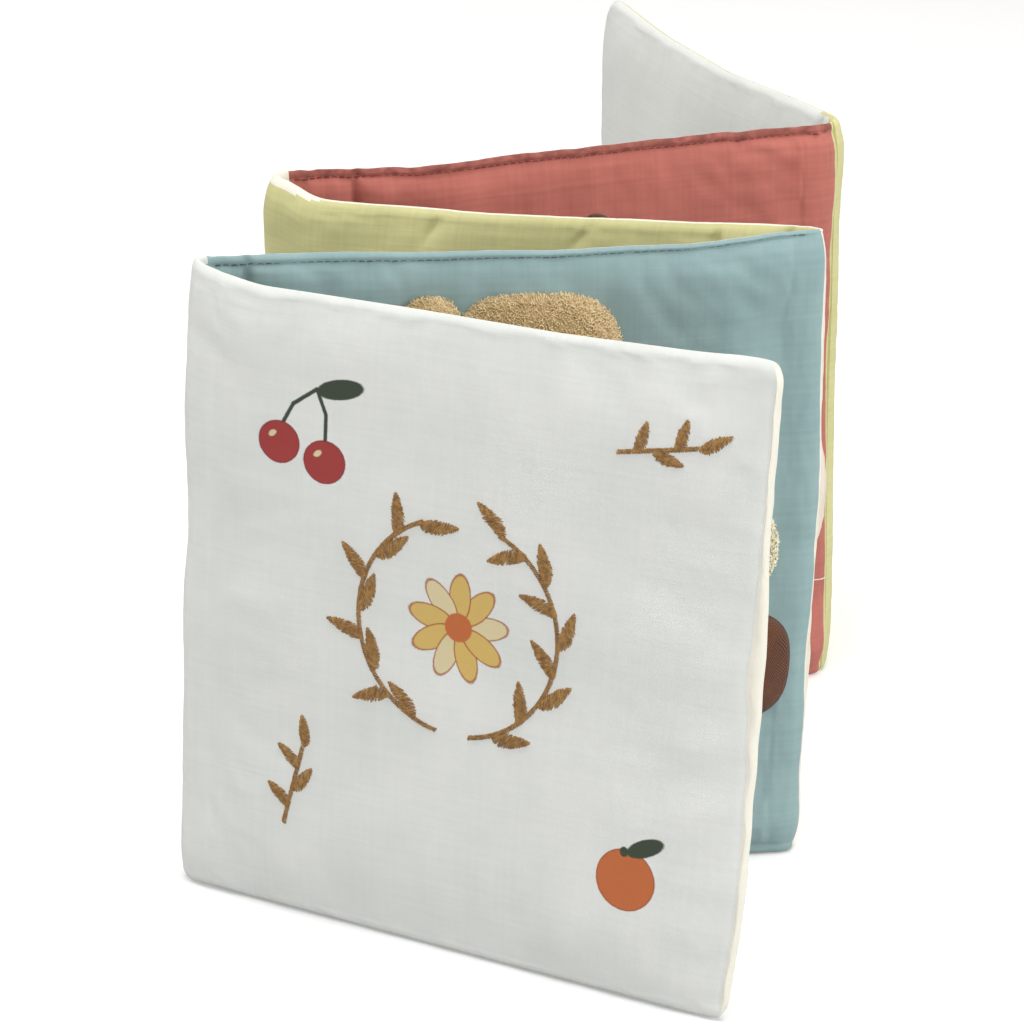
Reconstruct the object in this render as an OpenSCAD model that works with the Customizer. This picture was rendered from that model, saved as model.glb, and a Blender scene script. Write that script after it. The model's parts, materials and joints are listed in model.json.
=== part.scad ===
// Soft cloth book that folds like a concertina: a padded front cover, three padded pages in one
// sewn strip and a padded back cover, standing on its lower edges with the folds part open.

/* [Book] */
// Height of the covers and pages
book_h = 200; // [150:1:260]
// Width of a page between its two stitched fold lines
page_w = 190; // [140:1:250]
// Width of a cover from its fold line to its free edge
cover_w = 195; // [145:1:255]

/* [Padding] */
// Thickness of a page or cover where its padding is full
page_t = 9; // [6:0.5:12]
// Thickness of the sewn top and bottom edges
edge_t = 2.4; // [1.6:0.1:4]
// Thickness at a stitched fold line
seam_t = 1.4; // [0.8:0.1:2]
// Thickness at the free edge of a cover
free_t = 3; // [2:0.1:5]
// Distance from a sewn edge at which the padding is full
swell = 24; // [14:1:36]
// Distance of the row of stitches from the top and bottom edges of a page
stitch_gap = 3.2; // [2:0.1:8]
// Depth to which those stitches pull in each face
stitch_depth = 0.7; // [0:0.1:1]
// Radius of the free corners of a cover
corner_r = 7; // [3:1:14]

/* [Folds] */
// Radius of the middle of the cloth where a page folds onto the next
fold_r = 5; // [4:0.5:8]
// Thickness of the thinly padded cloth round a page fold
fold_t = 4; // [2:0.5:6]
// How far the top and bottom edges draw in at a fold
fold_dip = 2; // [0.5:0.5:4]
// Width of the cloth spine between two stitched lines beside a cover
spine_w = 11; // [8:0.5:16]
// Thickness of a cloth spine along its middle
spine_t = 2.4; // [1.4:0.1:3]
// Thickness of a cloth spine at its stitched lines
spine_end_t = 1; // [0.6:0.1:1.2]
// How far a spine bows outwards
spine_bow = 1.6; // [0:0.2:3]
// Distance of cloth from the stitched line that it hinges on
hinge_clear = 0.7; // [0.7:0.1:1.2]

/* [Standing pose] */
// Heading of the first page from its fold, seen from above
first_heading = 10.5; // [0:0.5:25]
// Opening between the front cover and the first page
front_open = 40; // [24:1:90]
// Opening between the first and the second page
first_open = 39.5; // [24:0.5:90]
// Opening between the second and the third page
second_open = 47.5; // [24:0.5:90]
// Opening between the third page and the back cover
back_open = 86.5; // [24:0.5:120]

/* [Sewn pictures] */
// Gap between a sewn picture and the page that it lies on
seat_gap = 0.3; // [0.1:0.1:0.5]
// Width of the plush head on the first page
head_w = 58; // [30:1:80]
// Height of the plush head
head_h = 60; // [30:1:90]
// Thickness of the plush head
head_t = 13; // [6:0.5:16]
// Middle of the plush head from the fold line of the first page
head_x = 105; // [70:0.5:120]
// Middle of the plush head below the upper edge
head_drop = 43; // [43:1:140]
// Diameter of the plush ear
ear_d = 18; // [12:1:30]
// Thickness of the plush ear
ear_t = 9; // [4:0.5:12]
// How far the plush ear reaches in beside the corner of the head
ear_nest_w = 3; // [0:0.5:3]
// Middle of the plush ear below the upper edge
ear_drop = 22; // [22:0.5:130]
// Diameter of the fleece tuft on the first page
tuft_d = 28; // [12:1:34]
// Thickness of the fleece tuft
tuft_t = 8; // [4:0.5:12]
// Middle of the fleece tuft before the end of the first page
tuft_gap = 19; // [18:1:60]
// Middle of the fleece tuft from the lower edge
tuft_z = 102; // [90:1:125]
// Width of the woven patch on the first page
patch_w = 43; // [24:1:56]
// Height of the woven patch
patch_h = 38; // [24:1:56]
// Thickness of the woven patch
patch_t = 7; // [3:0.5:10]
// Middle of the woven patch before the end of the first page
patch_gap = 21.5; // [21.5:0.5:60]
// Middle of the woven patch from the lower edge
patch_z = 64.5; // [40:0.5:70]
// Diameter of the round seed on the third page
seed_d = 14; // [8:1:30]
// Thickness of the round seed
seed_t = 3; // [1.5:0.5:6]
// Middle of the round seed from the fold line of the third page
seed_x = 106; // [40:1:150]
// Middle of the round seed below the upper edge
seed_drop = 30; // [20:1:140]
// Width of the pale pad on the third page
pale_w = 28; // [12:1:40]
// Height of the pale pad
pale_h = 58; // [20:1:70]
// Thickness of the pale pad
pale_t = 7; // [3:0.5:10]
// Middle of the pale pad before the end of the third page
pale_gap = 15; // [14:1:70]
// Middle of the pale pad from the lower edge
pale_z = 70; // [50:1:150]

/* [Hidden] */

// Steps along a page, round a fold, along a spine and up a page
page_steps = 20;
fold_steps = 6;
spine_steps = 4;
rise_steps = 20;
// Corners round a sewn picture and rings from its rim to its middle
rim_steps = 28;
dome_steps = 5;

// Shares that shape the padding: how fast it fills, and how wide the groove of stitches is
fill_share = 2.6;
groove_share = 0.4;
// Thickest that a long edge is, as a share of the cloth's thickness beside it
thin_share = 0.75;
// Heights of the corners next to a long edge, as shares of the distance to the stitches
edge_row_shares = [0, 0.45, 1, 1.7];
edge_rows = len(edge_row_shares) - 1;
// Thickness of a picture's rim as a share of its middle, and squareness of the pictures
rim_share = 0.3;
patch_square_share = 3.2;
head_square_share = 3;
round_share = 2;

half_turn = 180;
quarter_turn = 90;
page_half = page_t / 2;
edge_half = edge_t / 2;
seam_half = seam_t / 2;
free_half = free_t / 2;
fold_half = fold_t / 2;
spine_half = spine_t / 2;
spine_end_half = spine_end_t / 2;
ear_x = head_x - head_w / 2 - ear_d / 2 + ear_nest_w;

// A direction in plan, and the direction to its left
function ahead(a) = [cos(a), sin(a)];
function left(a) = [-sin(a), cos(a)];

// Shares from 0 to 1 that crowd towards both ends
function crowded(k, n) = (1 - cos(half_turn * k / n)) / 2;

// How full the padding is at a distance from a sewn edge
function fullness(d, reach) = d >= reach ? 1 : 1 - pow(1 - d / reach, fill_share);

// Heights of the rows of corners: close together at the row of stitches, then spread to the middle
function rise_at(k, tall) =
    k <= edge_rows ? stitch_gap * edge_row_shares[k]
        : k >= rise_steps - edge_rows ? tall - stitch_gap * edge_row_shares[rise_steps - k]
        : let (first = stitch_gap * edge_row_shares[edge_rows])
            first + (tall - 2 * first) * crowded(k - edge_rows, rise_steps - 2 * edge_rows);

// Headings and stitched lines of the standing strip, from the front cover to the back cover.
// The left side of each page is the side of the front cover's outer face.
first_start = [0, 0];
first_end = first_start + page_w * ahead(first_heading);
second_heading = first_heading + half_turn - first_open;
first_crease = first_end + fold_r * left(first_heading);
second_start = first_crease - fold_r * left(second_heading);
second_end = second_start + page_w * ahead(second_heading);
third_heading = second_heading - half_turn + second_open;
second_crease = second_end - fold_r * left(second_heading);
third_start = second_crease + fold_r * left(third_heading);
third_end = third_start + page_w * ahead(third_heading);

front_spine_heading = first_heading - quarter_turn - front_open / 2;
front_line = first_start + spine_w * ahead(front_spine_heading);
front_heading = front_spine_heading + quarter_turn - front_open / 2;
back_spine_heading = third_heading + quarter_turn - back_open / 2;
back_line = third_end + spine_w * ahead(back_spine_heading);
back_heading = back_spine_heading + quarter_turn - back_open / 2;

// A station is [place in plan, heading, half thickness, dip of its top and bottom]
function page_half_at(s) =
    seam_half + (page_half - seam_half) * fullness(min(s, page_w - s), swell);

function fold_dip_at(s) = fold_dip * (1 - fullness(min(s, page_w - s), stitch_gap + fold_r));

function page_stations(start, a) = [
    for (k = [0:page_steps])
    let (s = hinge_clear + (page_w - 2 * hinge_clear) * crowded(k, page_steps))
    [start + s * ahead(a), a, page_half_at(s), fold_dip_at(s)]
];

function fold_stations(crease, a, turn) = [
    for (k = [1:fold_steps - 1])
    let (b = a + turn * k / fold_steps)
    [crease - sign(turn) * fold_r * left(b), b, fold_half, fold_dip]
];

function free_half_at(d) = free_half + (page_half - free_half) * fullness(d, swell);

function corner_dip_at(d) =
    d >= corner_r ? 0 : corner_r - sqrt(pow(corner_r, 2) - pow(corner_r - d, 2));

function cover_stations(start, a) = [
    for (k = [0:page_steps])
    let (s = hinge_clear + (cover_w - hinge_clear) * crowded(k, page_steps), d = cover_w - s)
    [start + s * ahead(a), a, min(page_half_at(min(s, page_w / 2)), free_half_at(d)),
        max(fold_dip_at(min(s, page_w / 2)), corner_dip_at(d))]
];

// The bowed plan of a spine: its outer side, then its inner side coming back
function spine_plan(start, a) = [
    for (side = [-1, 1], k = [0:spine_steps])
    let (share = (side < 0 ? k : spine_steps - k) / spine_steps)
    let (s = hinge_clear + (spine_w - 2 * hinge_clear) * share)
    let (swing = sin(half_turn * share), half = spine_end_half + (spine_half - spine_end_half) * swing)
    start + s * ahead(a) + (side * half - spine_bow * swing) * left(a)
];

// One face's distance from the middle of the cloth, d in from the nearer long edge
function face_at(half, d, groove) =
    let (rim = min(edge_half, half * thin_share))
    rim + (half - rim) * fullness(d, swell)
        - groove * min(1, half / page_half)
            * exp(-pow((d - stitch_gap) / (groove_share * stitch_gap), 2));

// Points up the left face and down the right face of a station
function station_ring(st, groove) =
    let (low = st[3], high = book_h - st[3])
    concat(
        [for (k = [0:rise_steps])
            let (z = low + rise_at(k, high - low), d = min(z - low, high - z))
            let (p = st[0] + face_at(st[2], d, groove) * left(st[1]))
            [p[0], p[1], z]],
        [for (k = [rise_steps:-1:0])
            let (z = low + rise_at(k, high - low), d = min(z - low, high - z))
            let (p = st[0] - face_at(st[2], d, groove) * left(st[1]))
            [p[0], p[1], z]]);

function strip_points(stations, groove) = [for (st = stations) each station_ring(st, groove)];

// Quads between neighbouring rings, and a cap at each end
function strip_faces(count, n) = concat(
    [for (i = [0:count - 2], j = [0:n - 1])
        [i * n + j, i * n + (j + 1) % n, (i + 1) * n + (j + 1) % n, (i + 1) * n + j]],
    [[for (j = [n - 1:-1:0]) j]],
    [[for (j = [0:n - 1]) (count - 1) * n + j]]);

page_strip = strip_points(concat(
    page_stations(first_start, first_heading),
    fold_stations(first_crease, first_heading, second_heading - first_heading),
    page_stations(second_start, second_heading),
    fold_stations(second_crease, second_heading, third_heading - second_heading),
    page_stations(third_start, third_heading)), stitch_depth);
front_strip = strip_points(cover_stations(front_line, front_heading), 0);
back_strip = strip_points(cover_stations(back_line, back_heading), 0);
front_spine_plan = spine_plan(first_start, front_spine_heading);
back_spine_plan = spine_plan(third_end, back_spine_heading);

// The origin is under the middle of the footprint
outline = concat(page_strip, front_strip, back_strip, front_spine_plan, back_spine_plan);
outline_x = [for (p = outline) p[0]];
outline_y = [for (p = outline) p[1]];
centre = [(min(outline_x) + max(outline_x)) / 2, (min(outline_y) + max(outline_y)) / 2];

module strip(points) {
    n = 2 * (rise_steps + 1);
    translate([-centre[0], -centre[1], 0])
        polyhedron(points = points, faces = strip_faces(len(points) / n, n), convexity = 8);
}

module spine(plan) {
    translate([-centre[0], -centre[1], fold_dip])
        linear_extrude(height = book_h - 2 * fold_dip)
            polygon(plan);
}

// Outline of a sewn picture: a round form of a given squareness
function rim_point(a, w, h, square) =
    let (c = cos(a), s = sin(a))
    [sign(c) * pow(abs(c), 2 / square) * w / 2, sign(s) * pow(abs(s), 2 / square) * h / 2];

// A domed picture whose flat back lies on a page's right face, x along the page and z up it
module sewn_picture(start, a, x, z, w, h, t, square) {
    rim = t * rim_share;
    base = page_half + seat_gap;
    rings = concat(
        [[1, 0]],
        [for (k = [0:dome_steps - 1])
            let (q = cos(quarter_turn * k / dome_steps))
            [q, rim + (t - rim) * sqrt(1 - pow(q, 2))]]);
    local = [for (r = rings, k = [0:rim_steps - 1])
        let (p = r[0] * rim_point(2 * half_turn * k / rim_steps, w, h, square))
        let (q = start + (x + p[0]) * ahead(a) - (base + r[1]) * left(a))
        [q[0], q[1], z + p[1]]];
    middle = start + x * ahead(a) - (base + t) * left(a);
    top = len(local);
    last = (len(rings) - 1) * rim_steps;
    translate([-centre[0], -centre[1], 0])
        polyhedron(
            points = concat(local, [[middle[0], middle[1], z]]),
            faces = concat(
                [[for (k = [rim_steps - 1:-1:0]) k]],
                [for (i = [0:len(rings) - 2], k = [0:rim_steps - 1])
                    [i * rim_steps + k, i * rim_steps + (k + 1) % rim_steps,
                        (i + 1) * rim_steps + (k + 1) % rim_steps, (i + 1) * rim_steps + k]],
                [for (k = [0:rim_steps - 1]) [last + k, last + (k + 1) % rim_steps, top]]),
            convexity = 2);
}

module pages() {
    color("cadetblue") strip(page_strip);
}

module front_cover() {
    color("ivory") strip(front_strip);
}

module back_cover() {
    color("yellowgreen") strip(back_strip);
}

module front_spine() {
    color("white") spine(front_spine_plan);
}

module back_spine() {
    color("indianred") spine(back_spine_plan);
}

module plush_head() {
    color("tan")
        sewn_picture(first_start, first_heading, head_x, book_h - head_drop, head_w, head_h, head_t,
            head_square_share);
}

module plush_ear() {
    color("tan")
        sewn_picture(first_start, first_heading, ear_x, book_h - ear_drop, ear_d, ear_d, ear_t,
            round_share);
}

module fleece_tuft() {
    color("cornsilk")
        sewn_picture(first_start, first_heading, page_w - tuft_gap, tuft_z, tuft_d, tuft_d, tuft_t,
            round_share);
}

module woven_patch() {
    color("sienna")
        sewn_picture(first_start, first_heading, page_w - patch_gap, patch_z, patch_w, patch_h, patch_t,
            patch_square_share);
}

module round_seed() {
    color("saddlebrown")
        sewn_picture(third_start, third_heading, seed_x, book_h - seed_drop, seed_d, seed_d, seed_t,
            round_share);
}

module pale_pad() {
    color("mistyrose")
        sewn_picture(third_start, third_heading, page_w - pale_gap, pale_z, pale_w, pale_h, pale_t,
            round_share);
}

pages();
front_cover();
back_cover();
front_spine();
back_spine();
plush_head();
plush_ear();
fleece_tuft();
woven_patch();
round_seed();
pale_pad();
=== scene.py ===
# %% [markdown]
# A padded cloth book, standing open in a zigzag
# The real book is one long strip of cotton pads, joined by soft folds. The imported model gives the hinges,
# so the strip is laid along them, and every pad, stitch and sewn picture is then made on that strip.

# %% Load the frame
import json
import math

import bpy
import numpy as np
from mathutils import Matrix, Vector


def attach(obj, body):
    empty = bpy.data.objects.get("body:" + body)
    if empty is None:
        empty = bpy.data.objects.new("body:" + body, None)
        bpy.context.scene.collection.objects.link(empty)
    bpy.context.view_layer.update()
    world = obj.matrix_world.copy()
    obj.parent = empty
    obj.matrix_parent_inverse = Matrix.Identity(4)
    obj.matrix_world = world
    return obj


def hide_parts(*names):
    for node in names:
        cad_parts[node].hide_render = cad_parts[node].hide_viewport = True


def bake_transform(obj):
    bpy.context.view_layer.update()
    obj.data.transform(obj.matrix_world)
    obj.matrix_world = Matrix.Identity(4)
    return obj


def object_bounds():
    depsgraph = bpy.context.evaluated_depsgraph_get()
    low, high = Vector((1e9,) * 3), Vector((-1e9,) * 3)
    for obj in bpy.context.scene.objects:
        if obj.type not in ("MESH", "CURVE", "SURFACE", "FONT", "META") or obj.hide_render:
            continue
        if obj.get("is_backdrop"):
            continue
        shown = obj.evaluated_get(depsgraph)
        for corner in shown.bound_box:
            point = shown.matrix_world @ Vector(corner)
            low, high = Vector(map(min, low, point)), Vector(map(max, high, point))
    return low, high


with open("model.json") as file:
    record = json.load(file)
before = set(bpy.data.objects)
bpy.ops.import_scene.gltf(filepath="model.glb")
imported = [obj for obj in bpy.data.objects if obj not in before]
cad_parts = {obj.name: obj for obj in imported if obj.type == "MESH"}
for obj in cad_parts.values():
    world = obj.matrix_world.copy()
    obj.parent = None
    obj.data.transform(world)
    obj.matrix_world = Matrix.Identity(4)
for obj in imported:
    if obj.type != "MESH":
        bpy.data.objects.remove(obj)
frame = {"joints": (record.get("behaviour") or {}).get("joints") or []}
cad_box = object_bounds()
print("CAD box in metres:", [list(corner) for corner in cad_box])

# %% [markdown]
# Sizes, in millimetres and degrees
# They are the same named sizes as the part's source has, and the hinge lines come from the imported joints.

# %% Sizes of the book
MM = 0.001
HEIGHT = 200.0
PAGE = 190.0
COVER = 195.0
HALF_PAD = 4.5
FOLD_RADIUS = 5.0
HINGE_TANGENT = 5.4
FIRST_HEADING = 10.5
FRONT_OPEN = 40.0
FIRST_OPEN = 39.5
SECOND_OPEN = 47.5
BACK_OPEN = 86.5
CORNER = 7.0
ROLL = 2.6
ROLL_SHARE = 0.42
SWELL = 24.0
STITCH_INSET = 3.2
COLUMN_INSET = 14.3
FIRST_COLUMN = 17.8
THIRD_COLUMN = 23.3
hinge = {j["name"]: np.array(j["pos_m"][:2]) / MM for j in frame["joints"]}
SPINE = float(np.linalg.norm(hinge["front_cover_hinge"] - hinge["front_spine_hinge"]))
print("spine width:", round(SPINE, 2), "mm")

# %% [markdown]
# The middle line of the strip, seen from above
# A book's zigzag is straight runs and turns, so the line is walked like a path: so far ahead, then round.
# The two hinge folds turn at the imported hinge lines, which lie where the straight runs would meet.

# %% Walk the middle line
class MiddleLine:
    """Points and headings every part of a millimetre along the strip."""

    STEP = 0.25

    def __init__(self, start, heading):
        self.points = [np.array(start, float)]
        self.headings = [math.radians(heading)]
        self.length = 0.0

    def move(self, length, turn=0.0):
        steps = max(1, round(length / self.STEP))
        for _ in range(steps):
            half = math.radians(turn) / steps / 2
            heading = self.headings[-1] + half
            ahead = np.array([math.cos(heading), math.sin(heading)]) * length / steps
            self.points.append(self.points[-1] + ahead)
            self.headings.append(heading + half)
        self.length += length

    def arc(self, radius, turn):
        self.move(radius * math.radians(abs(turn)), turn)

    def hinge(self, turn):
        self.arc(HINGE_TANGENT / math.tan(math.radians(abs(turn)) / 2), turn)


front_turn = -(180 - FRONT_OPEN) / 2
back_turn = (180 - BACK_OPEN) / 2
cover_heading = FIRST_HEADING - 2 * front_turn
cover_ahead = np.array([math.cos(math.radians(cover_heading)), math.sin(math.radians(cover_heading))])
line = MiddleLine(hinge["front_cover_hinge"] - cover_ahead * COVER, cover_heading)
marks = {"free_front": 0.0}
line.move(COVER - HINGE_TANGENT)
line.hinge(front_turn)
marks["front_spine"] = line.length + (SPINE - 2 * HINGE_TANGENT) / 2
line.move(SPINE - 2 * HINGE_TANGENT)
line.hinge(front_turn)
line.move(PAGE - HINGE_TANGENT)
marks["first_fold"] = line.length + FOLD_RADIUS * math.radians(180 - FIRST_OPEN) / 2
line.arc(FOLD_RADIUS, 180 - FIRST_OPEN)
line.move(PAGE)
marks["second_fold_middle"] = line.length + FOLD_RADIUS * math.radians(180 - SECOND_OPEN) / 2
line.arc(FOLD_RADIUS, -(180 - SECOND_OPEN))
marks["second_fold"] = line.length
line.move(PAGE - HINGE_TANGENT)
line.hinge(back_turn)
marks["back_spine"] = line.length + (SPINE - 2 * HINGE_TANGENT) / 2
line.move(SPINE - 2 * HINGE_TANGENT)
line.hinge(back_turn)
line.move(COVER - HINGE_TANGENT)
marks["free_back"] = line.length
path_xy = np.array(line.points)
path_heading = np.array(line.headings)
path_step = np.linalg.norm(np.diff(path_xy, axis=0), axis=1)
path_station = np.concatenate([[0], np.cumsum(path_step)])
path_station *= line.length / path_station[-1]
print("strip length:", round(line.length, 1), "mm; marks:", {k: round(v, 1) for k, v in marks.items()})

# %% [markdown]
# How the standing book leans
# Soft pads never stand quite upright. Each fold's top and foot is moved a few millimetres, and the pads
# between follow. Over a fold the shift is constant, so the hinge folds stay upright and can turn.

# %% Leans at the ends and folds
LEAN_TOP = {
    "free_front": (5.2, 0.2, 0.9),
    "front_spine": (0.7, 0.2, -0.1),
    "first_fold": (-0.7, 1.5, 2.1),
    "second_fold_middle": (-3.0, -6.3, -6.9),
    "back_spine": (-1.7, 0.4, 1.9),
    "free_back": (-4.2, 0.8, 0.9),
}
LEAN_FOOT = {
    "free_front": (-3.0, -5.6, 0.0),
    "front_spine": (-0.2, 2.3, 0.0),
    "first_fold": (-0.5, -5.6, 0.0),
    "second_fold_middle": (-0.3, -0.5, 0.0),
    "back_spine": (2.6, -0.2, 0.0),
    "free_back": (-0.3, 0.1, 0.0),
}
STIFF = 15.0
TOP_LINE = {
    "free_front": ((4, -0.1), (9.5, 0.2), (26, -1.1), (71, -2.4), (117, -2.2), (157, -2.6), (172, -2.9), (183, -1.0)),
    "front_spine": ((-6, 1.2), (-1, 2.0), (3, 0.6), (12, 0.0), (22, 0.4), (42, 0.4), (63, -0.6), (86, -0.7),
                    (114, -1.3), (158, -0.9), (178, 0.6), (186, 1.9)),
    "first_fold": ((-4, 2.4), (2, 2.0), (15, 0.8), (43, -0.7), (93, -3.1), (125, -4.2), (162, -4.4), (183, -4.7),
                   (190, -1.2)),
    "second_fold_middle": ((-4, 1.0), (2, 1.6), (8, 1.2), (24, 0.6), (52, -1.8), (101, -1.4), (151, -1.6), (172, -2.0)),
    "back_spine": ((-6, -2.6), (2, -2.2), (42, -2.9), (95, -4.9), (151, -2.5), (177, 0.5), (190, 2.0)),
}
RISE_POWER = 3.0
BOWS = {
    "first_fold": ((1.8, -0.4), 112.0, 52.0, 0.9),
    "second_fold_middle": ((1.3, 0.0), 150.0, 60.0, 0.0),
    "back_spine": ((-1.0, 0.1), 118.0, 40.0, 0.2),
}
BOW_NEAR = 7.0
BOW_FAR = 20.0


def lean_at(station, table):
    """The shift at each station, level over each fold and even between folds."""
    places, shifts = [], []
    for name, shift in table.items():
        places += [marks[name] - STIFF, marks[name] + STIFF]
        shifts += [shift, shift]
    shifts = np.array(shifts)
    return np.stack([np.interp(station, places, shifts[:, axis]) for axis in range(3)], -1)


rise_places = np.array([marks[name] + d for name, line_points in TOP_LINE.items() for d, _ in line_points])
rise_values = np.array([rise for line_points in TOP_LINE.values() for _, rise in line_points])
rise_stations = np.arange(0.0, line.length, 1.0)
rise_kernel = np.exp(-0.5 * (np.arange(-9, 10) / 3.0) ** 2)
rises = np.convolve(np.pad(np.interp(rise_stations, rise_places, rise_values), 9, mode="edge"), rise_kernel, "valid")
rises /= rise_kernel.sum()


def place(station, off, height):
    """Row frame points, in mm, from a station on the strip, a distance to its left and a height."""
    station = np.asarray(station, float)
    middle = [np.interp(station, path_station, path_xy[:, axis]) for axis in range(2)]
    heading = np.interp(station, path_station, path_heading)
    share = np.asarray(height) / HEIGHT
    past_end = station - np.clip(station, 0, line.length)
    x = middle[0] - np.sin(heading) * off + np.cos(heading) * past_end
    y = middle[1] + np.cos(heading) * off + np.sin(heading) * past_end
    top, foot = lean_at(station, LEAN_TOP), lean_at(station, LEAN_FOOT)
    shift = foot * (1 - share)[..., None] + top * share[..., None]
    for name, (push, middle_height, spread, top_push) in BOWS.items():
        near = np.clip((BOW_FAR - np.abs(station - marks[name])) / (BOW_FAR - BOW_NEAR), 0, 1)
        near = near * near * (3 - 2 * near)
        bow = np.exp(-((height - middle_height) / spread) ** 2) * near
        shift = shift + bow[..., None] * np.array([*push, 0.0]) + (near * share)[..., None] * np.array([top_push, 0, 0])
    raised = height + np.interp(station, rise_stations, rises) * share ** RISE_POWER
    return np.stack([x, y, np.broadcast_to(raised, x.shape)], -1) + shift


free_corner = place(np.array([0.0]), np.array([0.0]), np.array([HEIGHT]))[0]
print("top of the front cover's free edge:", free_corner.round(1))

# %% [markdown]
# Random hills that come out the same each run
# Cloth is never even. A few sine waves with seeded directions give soft hills, and long narrow ones give
# the short puckers that run away from a line of stitches.

# %% Soft random hills
def hills(u, v, wave_u, wave_v, seed, waves=7):
    """Smooth seeded hills between about -1 and 1, with their own wavelength each way."""
    rng = np.random.default_rng(seed)
    total = 0.0
    for _ in range(waves):
        turn = rng.uniform(0, 2 * math.pi)
        stretch = rng.uniform(0.6, 1.6)
        phase = rng.uniform(0, 2 * math.pi)
        total = total + np.sin(2 * math.pi * stretch * (np.cos(turn) * u / wave_u + np.sin(turn) * v / wave_v) + phase)
    return total / math.sqrt(2 * waves)


# %% [markdown]
# Shader maths as plain expressions
# A small class wraps a socket, so that a mask is written as a sum and not as a page of links. Every other
# node comes from one method.

# %% Sockets with operators
class Wire:
    """A socket of a node tree that can be added, multiplied and compared like a number."""

    def __init__(self, tree, socket):
        self.tree = tree
        self.socket = socket

    def maths(self, operation, *others):
        values = dict(enumerate((self,) + others))
        return self.node("ShaderNodeMath", {"operation": operation}, values)

    def __add__(self, other): return self.maths("ADD", other)
    def __radd__(self, other): return self.maths("ADD", other)
    def __sub__(self, other): return self.maths("SUBTRACT", other)
    def __rsub__(self, other): return (self * -1) + other
    def __mul__(self, other): return self.maths("MULTIPLY", other)
    def __rmul__(self, other): return self.maths("MULTIPLY", other)
    def __truediv__(self, other): return self.maths("DIVIDE", other)

    def node(self, kind, settings=None, values=None, output=0):
        return add_node(self.tree, kind, settings, values, output)

    def soft_step(self, low, high):
        """0 below low and 1 above high, smooth between."""
        values = {"Value": self, "From Min": low, "From Max": high}
        return self.node("ShaderNodeMapRange", {"interpolation_type": "SMOOTHSTEP"}, values)


def add_node(tree, kind, settings=None, values=None, output=0):
    """Adds a node, sets its settings, then its sockets, and returns one output as a Wire."""
    node = tree.nodes.new(kind)
    for key, value in (settings or {}).items():
        setattr(node, key, value)
    for key, value in (values or {}).items():
        socket = node.inputs[key]
        if isinstance(value, Wire):
            tree.links.new(value.socket, socket)
        else:
            socket.default_value = value
    return Wire(tree, node.outputs[output]) if len(node.outputs) else node


def linear(red, green, blue):
    """A colour as it looks on screen, 0 to 255, as the linear colour that a shader takes."""
    def channel(value):
        value = value / 255
        return value / 12.92 if value <= 0.04045 else ((value + 0.055) / 1.055) ** 2.4
    return (channel(red), channel(green), channel(blue), 1.0)


def mixed(tree, share, first, second):
    """One colour turning into another by share, 0 to 1."""
    sockets = [tree.nodes.new("ShaderNodeMix")]
    mix = sockets[0]
    mix.data_type = "RGBA"
    for key, value in ((0, share), (6, first), (7, second)):
        if isinstance(value, Wire):
            tree.links.new(value.socket, mix.inputs[key])
        else:
            mix.inputs[key].default_value = value
    return Wire(tree, mix.outputs[2])


def new_material(name, roughness, sheen=0.0):
    """A material with an empty Principled shader, its tree and the shader."""
    material = bpy.data.materials.new(name)
    material.use_nodes = True
    tree = material.node_tree
    shader = next(n for n in tree.nodes if n.type == "BSDF_PRINCIPLED")
    shader.inputs["Roughness"].default_value = roughness
    shader.inputs["Specular IOR Level"].default_value = 0.25
    shader.inputs["Sheen Weight"].default_value = sheen
    return material, tree, shader


def object_place(tree):
    return add_node(tree, "ShaderNodeTexCoord", output=3)


def cloth_place(tree):
    """Where a point lies on its flat cloth: along the strip and up, in metres, as two Wires."""
    vector = add_node(tree, "ShaderNodeAttribute", {"attribute_name": "cloth"}, output=1)
    along = add_node(tree, "ShaderNodeSeparateXYZ", values={0: vector}, output=0)
    up = Wire(tree, along.socket.node.outputs[2])
    return vector, along, up


def noise(tree, vector, stretch, scale, detail=3.0, roughness=0.55):
    """Noise from 0 to 1 on a stretched vector."""
    moved = add_node(tree, "ShaderNodeVectorMath", {"operation": "MULTIPLY"}, {0: vector, 1: stretch})
    values = {"Vector": moved, "Scale": scale, "Detail": detail, "Roughness": roughness}
    return add_node(tree, "ShaderNodeTexNoise", values=values)


# %% [markdown]
# Cotton
# Plain woven cotton shows soft patches where it takes the light differently, thin slubs both ways where a
# yarn is thicker, and the weave itself close up. All three follow the cloth, so they read its flat place.

# %% The cotton finish
YARN = 0.55 * MM


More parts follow.
